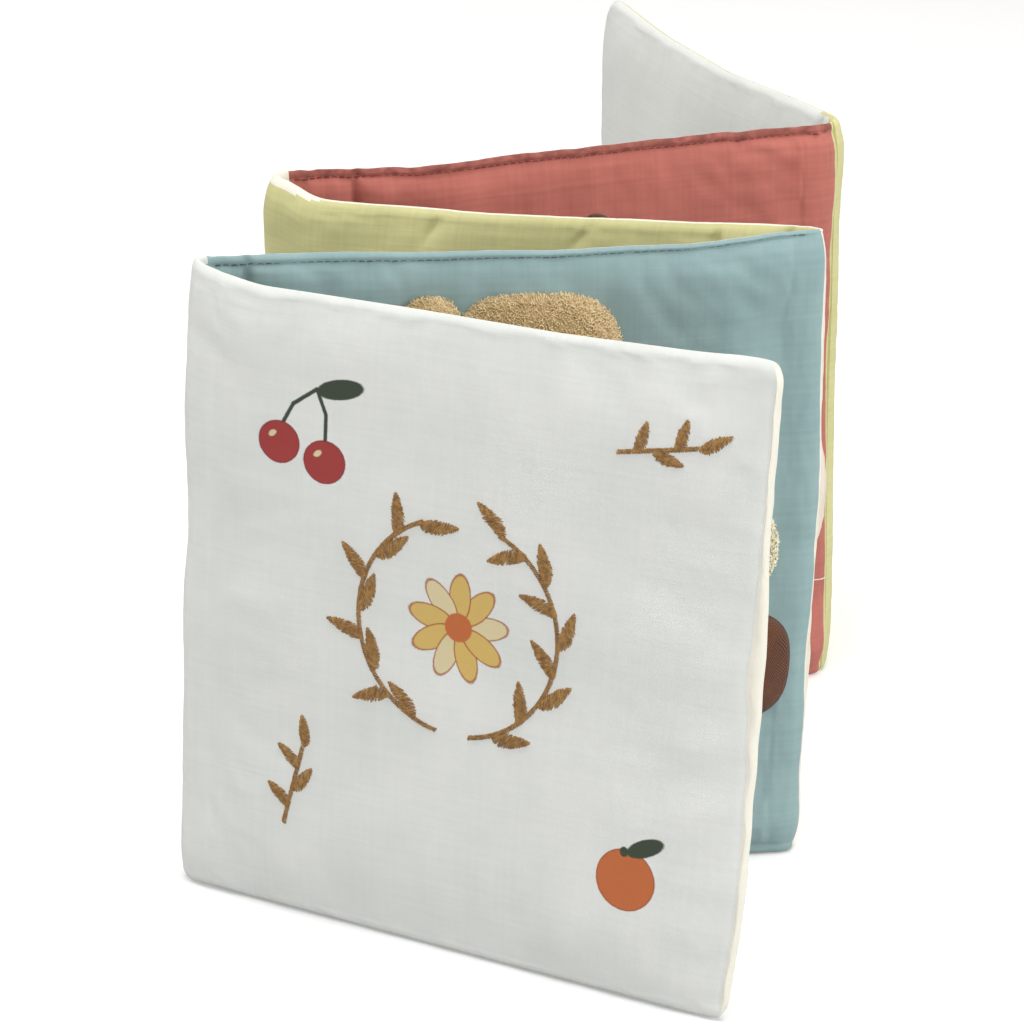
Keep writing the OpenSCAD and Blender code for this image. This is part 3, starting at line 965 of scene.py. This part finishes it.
second_page = build_panel(
    "second_page_pad", marks["first_fold"], marks["second_fold"], ("fold", "fold"),
    {"A": (12.0, None), "B": (None, 16.0)}, {"A": 0.0, "B": STITCH_INSET}, 14.0, ["green", "cream"],
    second_finish, "B", 23, {"A": 0.4, "B": 0.8},
    page_shape(41, 0.12, 0.3, ticks=TICKS), [along + slant * 8 for along, slant in TICKS])

# %% Third page
third_length = marks["back_spine"] - marks["second_fold"]
RED_END = third_length - 1.8


def third_finish(side, x, z):
    if side == "B":
        return "red" if x < RED_END else "green"
    return "green" if x > third_length - 14 and z > HEIGHT - 1.7 else "cream"


third_page = build_panel(
    "third_page_pad", marks["second_fold"], marks["back_spine"], ("fold", "fold"),
    {"A": (None, COLUMN_INSET), "B": (THIRD_COLUMN, None)}, {"A": STITCH_INSET, "B": STITCH_INSET}, 11.0,
    ["red", "cream", "green"], third_finish, "B", 24, {"A": 0.8, "B": 0.9}, page_shape(51, 0.5, 0.6))

# %% Back cover
EDGE_BULGE = 5.4


def back_shape(side, x, z, off):
    """The free edge bulges below its corner, and the face has slack places."""
    inner = np.clip(np.minimum(z, HEIGHT - z) / 10, 0, 1)
    below = np.clip(np.minimum(HEIGHT - 4 - z, z) / 26, 0, 1)
    near = np.exp(-((back_length - x) / 9.0) ** 2)
    bulge = (EDGE_BULGE * below * (2 - below) + 0.5 * hills(z, z * 0, 30, 30, 62)) * near
    return x + bulge, off + 0.6 * hills(x, z, 90, 70, 61) * inner, z


def back_finish(side, x, z):
    over_rim = x < 16 and z > HEIGHT - (2.5 if x < 8 else 0.9)
    return "white" if side == "A" and not over_rim else "green"


back_length = marks["free_back"] - marks["back_spine"]
back_cover = build_panel(
    "back_cover_pad", marks["back_spine"], marks["free_back"], ("fold", "free"),
    {"A": (COLUMN_INSET, None), "B": (None, None)}, {"A": 0.0, "B": 0.0}, 22.0, ["white", "green"],
    back_finish, "B", 25, {"A": 0.3, "B": 0.7}, back_shape)

# %% [markdown]
# Stitched rows
# A stitched row is one small thread shape repeated along a line on the cloth, which is what Geometry Nodes
# are for. The tree takes a line with its up direction and puts an arched stitch at every pitch.

# %% Geometry Nodes helpers
def geometry_tree(name, inputs):
    """A new tree with named inputs after its geometry. inputs is name: (socket type, default)."""
    tree = bpy.data.node_groups.new(name, "GeometryNodeTree")
    tree.interface.new_socket("Geometry", in_out="INPUT", socket_type="NodeSocketGeometry")
    for label, (kind, default) in inputs.items():
        socket = tree.interface.new_socket(label, in_out="INPUT", socket_type=kind)
        if default is not None:
            socket.default_value = default
    tree.interface.new_socket("Geometry", in_out="OUTPUT", socket_type="NodeSocketGeometry")
    group_in = tree.nodes.new("NodeGroupInput")
    wires = {socket.name: Wire(tree, socket) for socket in group_in.outputs if socket.name}
    return tree, wires


def finish_tree(tree, geometry, material):
    """Closes a tree with Realize Instances and Set Material."""
    real = add_node(tree, "GeometryNodeRealizeInstances", values={"Geometry": geometry})
    painted = add_node(tree, "GeometryNodeSetMaterial", values={"Geometry": real, "Material": material})
    group_out = tree.nodes.new("NodeGroupOutput")
    tree.links.new(painted.socket, group_out.inputs[0])


def grown(name, base, tree, values):
    """Runs a tree on the base object and returns the result as a plain mesh object."""
    modifier = base.modifiers.new(tree.name, "NODES")
    modifier.node_group = tree
    for item in tree.interface.items_tree:
        if item.in_out == "INPUT" and item.name in values:
            modifier[item.identifier] = values[item.name]
    applied(base)
    base.name = base.data.name = name
    base.data.polygons.foreach_set("use_smooth", [True] * len(base.data.polygons))
    print(name, "faces:", len(base.data.polygons))
    return base


def path_object(paths, ups):
    """Edges along each path, in mm, with the cloth's up direction kept on the points."""
    points, edges, directions = [], [], []
    for path, up in zip(paths, ups):
        first = len(points)
        points += list(path)
        directions += list(up)
        edges += [(first + k, first + k + 1) for k in range(len(path) - 1)]
    mesh = bpy.data.meshes.new("paths")
    mesh.from_pydata((np.array(points) * MM).tolist(), edges, [])
    attribute = mesh.attributes.new("up", "FLOAT_VECTOR", "POINT")
    attribute.data.foreach_set("vector", np.array(directions).ravel())
    made = bpy.data.objects.new("paths", mesh)
    bpy.context.scene.collection.objects.link(made)
    return made


# %% Tree for a running stitch
stitch_tree, given = geometry_tree("Running stitch", {
    "Pitch": ("NodeSocketFloat", 0.0026),
    "Stitch length": ("NodeSocketFloat", 0.0019),
    "Thread radius": ("NodeSocketFloat", 0.00026),
    "Material": ("NodeSocketMaterial", None),
})
rows = add_node(stitch_tree, "GeometryNodeMeshToCurve", values={0: given["Geometry"]})
spaced = add_node(stitch_tree, "GeometryNodeResampleCurve", {"mode": "LENGTH"}, {"Curve": rows, "Length": given["Pitch"]})
tangent = add_node(stitch_tree, "GeometryNodeInputTangent")
up_way = add_node(stitch_tree, "GeometryNodeInputNamedAttribute", {"data_type": "FLOAT_VECTOR"}, {"Name": "up"})
turned = add_node(stitch_tree, "FunctionNodeAxesToRotation", {"primary_axis": "X", "secondary_axis": "Z"}, {0: tangent, 1: up_way})
half = given["Stitch length"] * 0.5
stitch_start = add_node(stitch_tree, "ShaderNodeCombineXYZ", values={0: half * -1, 2: given["Thread radius"] * -0.8})
stitch_top = add_node(stitch_tree, "ShaderNodeCombineXYZ", values={2: given["Thread radius"] * 2.2})
stitch_end = add_node(stitch_tree, "ShaderNodeCombineXYZ", values={0: half, 2: given["Thread radius"] * -0.8})
arch = add_node(stitch_tree, "GeometryNodeCurveQuadraticBezier", values={"Resolution": 5, "Start": stitch_start, "Middle": stitch_top, "End": stitch_end})
ring = add_node(stitch_tree, "GeometryNodeCurvePrimitiveCircle", values={"Resolution": 6, "Radius": given["Thread radius"]})
one_stitch = add_node(stitch_tree, "GeometryNodeCurveToMesh", values={"Curve": arch, "Profile Curve": ring, "Fill Caps": True})
stitches = add_node(stitch_tree, "GeometryNodeInstanceOnPoints", values={"Points": spaced, "Instance": one_stitch, "Rotation": turned})
finish_tree(stitch_tree, stitches, given["Material"])


def stitched_rows(name, rows_on, thread, body):
    """Running stitches along (panel, side, x values, z values) rows, riding on a body."""
    paths, ups = [], []
    for panel, side, x, z in rows_on:
        points, normals = on_cloth(panel, side, x, z, 0.25)
        paths.append(points)
        ups.append(normals)
    made = grown(name, path_object(paths, ups), stitch_tree, {"Material": FINISH[thread]})
    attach(made, body)
    return made


# %% [markdown]
# Gold embroidery
# A machine fills a leaf with satin stitches side by side across its rib. Each stitch is one thread that
# dives into the cloth at both ends, so the paths are worked out on the cloth and a tree gives them body.

# %% Tree for satin threads
satin_tree, given = geometry_tree("Satin threads", {
    "Thread radius": ("NodeSocketFloat", 0.00024),
    "Material": ("NodeSocketMaterial", None),
})
threads = add_node(satin_tree, "GeometryNodeMeshToCurve", values={0: given["Geometry"]})
share = add_node(satin_tree, "GeometryNodeSplineParameter")
ends_thin = 1.15 - (share * 2 - 1).maths("ABSOLUTE").maths("POWER", 5.0) * 0.7
thick = add_node(satin_tree, "GeometryNodeSetCurveRadius", values={"Curve": threads, "Radius": ends_thin})
ring = add_node(satin_tree, "GeometryNodeCurvePrimitiveCircle", values={"Resolution": 5, "Radius": given["Thread radius"]})
bodied = add_node(satin_tree, "GeometryNodeCurveToMesh", values={"Curve": thick, "Profile Curve": ring, "Fill Caps": True})
finish_tree(satin_tree, bodied, given["Material"])

# %% Wreath and sprigs
WREATH_RADIUS = 34.0
WREATH_STEM = 1.5
LEAF_LONG = 13.0
LEAF_WIDE = 5.2
THREAD_GAP = 0.52
thread_rng = np.random.default_rng(71)
thread_paths = []


def sewn_thread(centre, angle, width):
    """One satin thread across, centred at a place on the cover in print millimetres."""
    angle = angle + math.radians(thread_rng.normal(0, 4))
    width = width * (1 + thread_rng.normal(0, 0.06))
    steps = np.array([-0.5, -0.36, -0.15, 0.15, 0.36, 0.5])
    lifts = np.array([-0.15, 0.3, 0.5, 0.5, 0.3, -0.15]) * min(1.0, 0.5 + width / 4) + thread_rng.normal(0, 0.05)
    u = centre[0] + steps * width * math.cos(angle)
    v = centre[1] + steps * width * math.sin(angle)
    points, normals = on_cloth("front_cover_pad", "A", COVER - u, v, lifts)
    thread_paths.append((points, normals))


def sewn_leaf(root, angle, long=LEAF_LONG, wide=LEAF_WIDE):
    """A leaf of satin threads, slanting from its rib."""
    for distance in np.arange(0.4, long, THREAD_GAP):
        share = distance / long
        width = wide * (math.sin(math.pi * share ** 0.8) ** 0.8) + 0.5
        bend = angle + 0.25 * share
        centre = (root[0] + distance * math.cos(bend), root[1] + distance * math.sin(bend))
        sewn_thread(centre, bend + math.radians(62), width)


def sewn_stem(points, width=WREATH_STEM, gap=0.62):
    """A narrow satin line along points."""
    points = np.array(points)
    steps = np.linalg.norm(np.diff(points, axis=0), axis=1)
    run = np.concatenate([[0], np.cumsum(steps)])
    for distance in np.arange(0, run[-1], gap):
        x, y = np.interp(distance, run, points[:, 0]), np.interp(distance, run, points[:, 1])
        ahead = np.interp(distance + 0.5, run, points[:, 0]) - x, np.interp(distance + 0.5, run, points[:, 1]) - y
        sewn_thread((x, y), math.atan2(ahead[1], ahead[0]) + math.radians(65), width)


for half_turn in (1, -1):
    ring_angles = np.radians(np.linspace(-80, 68, 60))
    stem = [(DAISY[0] + half_turn * WREATH_RADIUS * math.cos(a), DAISY[1] + WREATH_RADIUS * math.sin(a)) for a in ring_angles]
    sewn_stem(stem)
    for number, a in enumerate(np.radians(np.linspace(-66, 66, 9))):
        root = (DAISY[0] + half_turn * WREATH_RADIUS * math.cos(a), DAISY[1] + WREATH_RADIUS * math.sin(a))
        travel = math.atan2(math.cos(a), -half_turn * math.sin(a))
        tilt = math.radians(38) * (1 if number % 2 else -1)
        sewn_leaf(root, travel + tilt)
SPRIGS = (((40.0, 30.0), 78.0), ((148.0, 168.0), 10.0))
for root, aim in SPRIGS:
    aim = math.radians(aim)
    tip = (root[0] + 26 * math.cos(aim), root[1] + 26 * math.sin(aim))
    sewn_stem([root, tip])
    for share, lean in ((0.2, 45), (0.45, -45), (0.7, 45), (1.0, 0)):
        place_on = (root[0] + 26 * share * math.cos(aim), root[1] + 26 * share * math.sin(aim))
        sewn_leaf(place_on, aim + math.radians(lean), 10.0, 4.4)
base = path_object([p for p, _ in thread_paths], [n for _, n in thread_paths])
gold = grown("gold_embroidery", base, satin_tree, {"Material": FINISH["gold"]})
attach(gold, "front_cover")

# %% Rows on the pages
top_row, foot_row = HEIGHT - STITCH_INSET, STITCH_INSET
for panel, thread_b, thread_a, label in (
    ("first_page_pad", "blue_thread", "white_thread", "first_page"),
    ("second_page_pad", "white_thread", None, "second_page"),
    ("third_page_pad", "red_thread", "white_thread", "third_page"),
):
    length = panels[panel]["length"]
    across = np.arange(9.0 if panel == "first_page_pad" else 3.0, length - 8.0, 1.5)
    for side, thread in (("A", thread_a), ("B", thread_b)):
        if thread is None:
            continue
        levels = (top_row,) if side == "B" else (top_row, foot_row)
        both = [(panel, side, across, across * 0 + row) for row in levels]
        stitched_rows(f"{label}_{thread}_rows", both, thread, "pages")

STRAY_X = np.linspace(183.5, 193.5, 8)
stray_points, stray_normals = on_cloth("third_page_pad", "B", STRAY_X, 36.6 - 0.13 * (STRAY_X - 183.5), 0.1)
stray = path_object([stray_points], [stray_normals])
stray = grown("loose_pale_thread", stray, satin_tree, {"Material": FINISH["white_thread"]})
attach(stray, "pages")

# %% [markdown]
# Sewn pictures
# Each picture is a little padded form sewn onto a page, and only its edge shows past the cover. It is
# domed out of the page's own surface, so it sits on the cloth from any side.

# %% Build a domed picture
def domed(name, panel, side, centre, wide, tall, thick, finish, squareness=2.0, rings=14, spokes=48, seed=1, lump=0.05):
    """A closed dome on a panel, wide by tall and so thick, in mm."""
    turn = np.linspace(0, 2 * math.pi, spokes, endpoint=False)
    shares = np.concatenate([np.linspace(0, 1, rings)[1:], [0.985]])
    cos, sin = np.cos(turn), np.sin(turn)
    outline = (np.abs(cos) ** squareness + np.abs(sin) ** squareness) ** (-1 / squareness)
    points, cloth = [], []
    faces = []
    for number, share in enumerate(shares):
        u, v = centre[0] + outline * cos * share * wide / 2, centre[1] + outline * sin * share * tall / 2
        top = number < rings - 1
        height = thick * (1 - share ** 2.4) ** 0.55 if top else 0.0
        height = height * (1 + lump * hills(u, v, 22, 22, seed)) if top else 0.0 * u
        lift = height - (0.2 if number < rings else 0.8)
        spot, _ = on_cloth(panel, side, u, v, lift)
        points.append(spot)
        cloth.append(np.stack([u, lift, v], -1))
    crown, _ = on_cloth(panel, side, centre[0], centre[1], thick * (1 + lump * float(hills(centre[0], centre[1], 22, 22, seed))))
    under, _ = on_cloth(panel, side, centre[0], centre[1], -0.8)
    flat_points = np.concatenate(points + [crown[None], under[None]])
    flat_cloth = np.concatenate(cloth + [[[centre[0], thick, centre[1]]], [[centre[0], 0, centre[1]]]])
    ring_count = len(points)
    crown_id, under_id = ring_count * spokes, ring_count * spokes + 1
    for k in range(spokes):
        n = (k + 1) % spokes
        faces.append((crown_id, k, n))
        for r in range(ring_count - 1):
            a, b = r * spokes, (r + 1) * spokes
            faces.append((a + k, b + k, b + n, a + n))
        last = (ring_count - 1) * spokes
        faces.append((under_id, last + n, last + k))
    if side == "A":
        faces = [f[::-1] for f in faces]
    made = make_mesh(name, flat_points, faces, [finish], cloth=flat_cloth)
    return made


# %% Tree for yarn loops
loop_tree, given = geometry_tree("Yarn loops", {
    "Spacing": ("NodeSocketFloat", 0.0006),
    "Loop height": ("NodeSocketFloat", 0.0015),
    "Loop width": ("NodeSocketFloat", 0.0012),
    "Yarn radius": ("NodeSocketFloat", 0.0003),
    "Tilt": ("NodeSocketFloat", 0.6),
    "Seed": ("NodeSocketInt", 3),
    "Material": ("NodeSocketMaterial", None),
})
spread = loop_tree.nodes.new("GeometryNodeDistributePointsOnFaces")
spread.distribute_method = "POISSON"
spread.inputs["Density Max"].default_value = 8000000.0
loop_tree.links.new(given["Geometry"].socket, spread.inputs["Mesh"])
loop_tree.links.new(given["Spacing"].socket, spread.inputs["Distance Min"])
loop_tree.links.new(given["Seed"].socket, spread.inputs["Seed"])
spots, turned = Wire(loop_tree, spread.outputs["Points"]), Wire(loop_tree, spread.outputs["Rotation"])
side_way = given["Loop width"] * 0.5
loop_start = add_node(loop_tree, "ShaderNodeCombineXYZ", values={0: side_way * -1, 2: given["Yarn radius"] * -1})
loop_top = add_node(loop_tree, "ShaderNodeCombineXYZ", values={2: given["Loop height"] * 2})
loop_end = add_node(loop_tree, "ShaderNodeCombineXYZ", values={0: side_way, 2: given["Yarn radius"] * -1})
loop = add_node(loop_tree, "GeometryNodeCurveQuadraticBezier", values={"Resolution": 3, "Start": loop_start, "Middle": loop_top, "End": loop_end})
ring = add_node(loop_tree, "GeometryNodeCurvePrimitiveCircle", values={"Resolution": 3, "Radius": given["Yarn radius"]})
one_loop = add_node(loop_tree, "GeometryNodeCurveToMesh", values={"Curve": loop, "Profile Curve": ring, "Fill Caps": False})
tilt_low = add_node(loop_tree, "ShaderNodeCombineXYZ", values={0: given["Tilt"] * -1, 1: given["Tilt"] * -1, 2: -3.1})
tilt_high = add_node(loop_tree, "ShaderNodeCombineXYZ", values={0: given["Tilt"], 1: given["Tilt"], 2: 3.1})
tilts = add_node(loop_tree, "FunctionNodeRandomValue", {"data_type": "FLOAT_VECTOR"}, {0: tilt_low, 1: tilt_high, "Seed": given["Seed"]})
tilts_turn = add_node(loop_tree, "FunctionNodeEulerToRotation", values={0: tilts})
aimed = add_node(loop_tree, "FunctionNodeRotateRotation", {"rotation_space": "LOCAL"}, {0: turned, 1: tilts_turn})
sizes = loop_tree.nodes.new("FunctionNodeRandomValue")
sizes.data_type = "FLOAT"
sizes.inputs[2].default_value = 0.7
sizes.inputs[3].default_value = 1.3
loops = add_node(loop_tree, "GeometryNodeInstanceOnPoints", values={"Points": spots, "Instance": one_loop, "Rotation": aimed, "Scale": Wire(loop_tree, sizes.outputs[1])})
finish_tree(loop_tree, loops, given["Material"])


def looped(name, under, values, body):
    """Yarn loops all over a piece, as their own mesh."""
    base = under.copy()
    base.data = under.data.copy()
    bpy.context.scene.collection.objects.link(base)
    made = grown(name, base, loop_tree, values)
    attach(made, body)
    return made


# %% Plush shapes on the blue page
first_start_in_panel = HINGE_TANGENT / math.tan(math.radians(70) / 2) * math.radians(70) + (SPINE - 2 * HINGE_TANGENT) / 2 - HINGE_TANGENT
print("page 1 begins", round(first_start_in_panel, 2), "mm into its panel")
PICTURES = {
    "plush_head": dict(centre=(104, 157), wide=57, tall=59, thick=11.5, finish="plush_ground", squareness=3.2),
    "plush_ear": dict(centre=(70.8, 177.4), wide=18.5, tall=17, thick=7.5, finish="plush_ground", squareness=2.5),
    "fleece_tuft": dict(centre=(170.9, 101.7), wide=25, tall=28, thick=6.5, finish="fleece_ground", squareness=2.4),
    "woven_patch": dict(centre=(168.3, 63.8), wide=42, tall=37, thick=6.8, finish="twill", squareness=2.7, lump=0.12),
}
made_pictures = {}
for number, (name, facts) in enumerate(PICTURES.items()):
    facts["centre"] = (facts["centre"][0] + first_start_in_panel, facts["centre"][1])
    made_pictures[name] = domed(f"{name}_pad", "first_page_pad", "B", seed=80 + number, **facts)
SEED_PLACE = (106, 170)
PALE_PLACE = (177, 70)
made_pictures["round_seed"] = domed("round_seed_disc", "third_page_pad", "B", SEED_PLACE, 14, 14, 2.6, "felt", lump=0.02)
made_pictures["pale_pad"] = domed("pale_pad_form", "third_page_pad", "B", PALE_PLACE, 28, 58, 6.6, "jersey", 2.6)
LOOPS = {
    "plush_head": {"Spacing": 0.00062, "Loop height": 0.0007, "Loop width": 0.0008, "Yarn radius": 0.00021, "Tilt": 0.5, "Seed": 4},
    "plush_ear": {"Spacing": 0.00062, "Loop height": 0.0007, "Loop width": 0.0008, "Yarn radius": 0.00021, "Tilt": 0.5, "Seed": 5},
    "fleece_tuft": {"Spacing": 0.0008, "Loop height": 0.0009, "Loop width": 0.0014, "Yarn radius": 0.00034, "Tilt": 0.7, "Seed": 6},
}
for name, values in LOOPS.items():
    finish = "fleece" if name == "fleece_tuft" else "plush"
    looped(f"{name}_loops", made_pictures[name], {**values, "Material": FINISH[finish]}, "pages")
for name, piece in made_pictures.items():
    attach(piece, "pages")
    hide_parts(name)

# %% [markdown]
# Panels in place
# A cover turns about two hinge lines, one at each side of the spine. Each panel that runs into a spine has its place
# baked into its mesh, the middle page rides on the pages, and the imported hinge parts are hidden.

# %% Bake the panels in place
def on_strip(station):
    """A point on the middle line, half way up, in metres."""
    return tuple(place(np.array([station]), np.array([0.0]), np.array([HEIGHT / 2]))[0] * MM)


BEND = 14.0
for piece, spine, body, edge, way, slot_name, nodes in (
    (front_cover, "front_spine", "front_cover", "front_spine", -1, "white_cotton", ("front_cover", "front_spine")),
    (first_page, "front_spine", "pages", "front_spine", 1, "blue_cotton", ("pages", "front_spine")),
    (third_page, "back_spine", "pages", "back_spine", -1, "red_cotton", ("pages", "back_spine")),
    (back_cover, "back_spine", "back_cover", "back_spine", 1, "white_cotton", ("back_cover", "back_spine")),
):
    on_strip(marks[edge])
    on_strip(marks[edge] + way * BEND)
    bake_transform(piece)
    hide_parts(*nodes)
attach(second_page, "pages")
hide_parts("pages")

# %% [markdown]
# Floor, light and camera
# A white floor that keeps a soft shadow, broad light from above and the left, and a long lens at the
# height of a table photograph.

# %% Floor and world
floor_material, tree, shader = new_material("white_floor", 0.9)
grain = noise(tree, object_place(tree), (1, 1, 1), 6.0)
camera_ray = add_node(tree, "ShaderNodeLightPath")
seen = mixed(tree, grain, (0.86, 0.86, 0.86, 1), (0.9, 0.9, 0.9, 1))
unseen = mixed(tree, grain, (0.44, 0.44, 0.44, 1), (0.47, 0.47, 0.47, 1))
tree.links.new(mixed(tree, camera_ray, unseen, seen).socket, shader.inputs["Base Color"])
glow = add_node(tree, "ShaderNodeEmission", values={"Color": (1, 1, 1, 1), "Strength": 1.0})
both = add_node(tree, "ShaderNodeAddShader", values={0: Wire(tree, shader.outputs[0]), 1: glow})
chosen = add_node(tree, "ShaderNodeMixShader", values={0: camera_ray * 0.2, 1: Wire(tree, shader.outputs[0]), 2: both})
output = next(n for n in tree.nodes if n.type == "OUTPUT_MATERIAL")
tree.links.new(chosen.socket, output.inputs["Surface"])
FINISH["floor"] = floor_material
FLOOR = 4000.0
floor = make_mesh("floor", [(-FLOOR, -FLOOR, -0.2), (FLOOR, -FLOOR, -0.2), (FLOOR, FLOOR, -0.2), (-FLOOR, FLOOR, -0.2)], [(0, 1, 2, 3)], ["floor"])
floor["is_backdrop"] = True
world = bpy.data.worlds.new("studio")
bpy.context.scene.world = world
world.use_nodes = True
tree = world.node_tree
background = next(n for n in tree.nodes if n.type == "BACKGROUND")
WORLD_LEVEL = 0.27
camera_ray = add_node(tree, "ShaderNodeLightPath")
level = camera_ray * (1 - WORLD_LEVEL) + WORLD_LEVEL
tree.links.new(level.socket, background.inputs["Strength"])
background.inputs["Color"].default_value = (1, 1, 1, 1)


# %% Lights
def soft_light(name, spot, aim, size, power, colour=(1, 1, 1)):
    """A square area light at spot, in metres, that looks at aim."""
    light = bpy.data.lights.new(name, "AREA")
    light.size = size
    light.energy = power
    light.color = colour
    lamp = bpy.data.objects.new(name, light)
    lamp.location = spot
    lamp.rotation_euler = (Vector(aim) - Vector(spot)).to_track_quat("-Z", "Y").to_euler()
    bpy.context.scene.collection.objects.link(lamp)
    return lamp


soft_light("top", (0.1, -0.3, 2.2), (0, 0, 0.1), 1.6, 39.0, (1, 0.99, 0.97))
soft_light("front", (0.3, -2.6, 0.3), (0, 0, 0.1), 0.6, 16.0, (1, 1, 0.99))
soft_light("left", (-1.7, -1.9, 0.33), (0, 0, 0.1), 0.6, 12.0, (0.99, 1, 1))
soft_light("right", (2.0, -1.6, 0.33), (0, 0, 0.1), 0.6, 9.0, (1, 0.995, 0.98))
soft_light("side", (2.2, -0.2, 0.7), (0, 0, 0.1), 1.0, 21.0, (1, 0.995, 0.98))
soft_light("back left", (-1.9, 0.9, 1.5), (0, 0, 0.1), 1.2, 22.0, (1, 0.98, 0.94))

# %% Camera
FOCAL_PIXELS = 5201.0
PHOTO_PIXELS = 1024.0
SENSOR = 36.0
CAMERA_SPOT = (-8.7, -1681.3, 596.1)
YAW, PITCH, ROLL_ANGLE = (math.radians(a) for a in (0.14, 17.18, 1.59))
ahead = Vector((math.sin(YAW) * math.cos(PITCH), math.cos(YAW) * math.cos(PITCH), -math.sin(PITCH)))
right = Vector((math.cos(YAW), -math.sin(YAW), 0))
upward = right.cross(ahead)
rolled_right = right * math.cos(ROLL_ANGLE) + upward * math.sin(ROLL_ANGLE)
rolled_up = upward * math.cos(ROLL_ANGLE) - right * math.sin(ROLL_ANGLE)
lens = bpy.data.cameras.new("camera")
lens.sensor_width = SENSOR
lens.lens = FOCAL_PIXELS / PHOTO_PIXELS * SENSOR
lens.clip_end = 50.0
camera = bpy.data.objects.new("camera", lens)
camera.matrix_world = Matrix((
    (*(rolled_right[k] for k in range(1)), rolled_up[0], -ahead[0], CAMERA_SPOT[0] * MM),
    (rolled_right[1], rolled_up[1], -ahead[1], CAMERA_SPOT[1] * MM),
    (rolled_right[2], rolled_up[2], -ahead[2], CAMERA_SPOT[2] * MM),
    (0, 0, 0, 1),
))
bpy.context.scene.collection.objects.link(camera)
bpy.context.scene.camera = camera
bpy.context.scene.view_settings.view_transform = "Standard"

# %% Print both boxes and finish
model_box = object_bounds()
sizes = {"cad": [list(corner) for corner in cad_box], "model": [list(corner) for corner in model_box]}
print("boxes:", sizes)
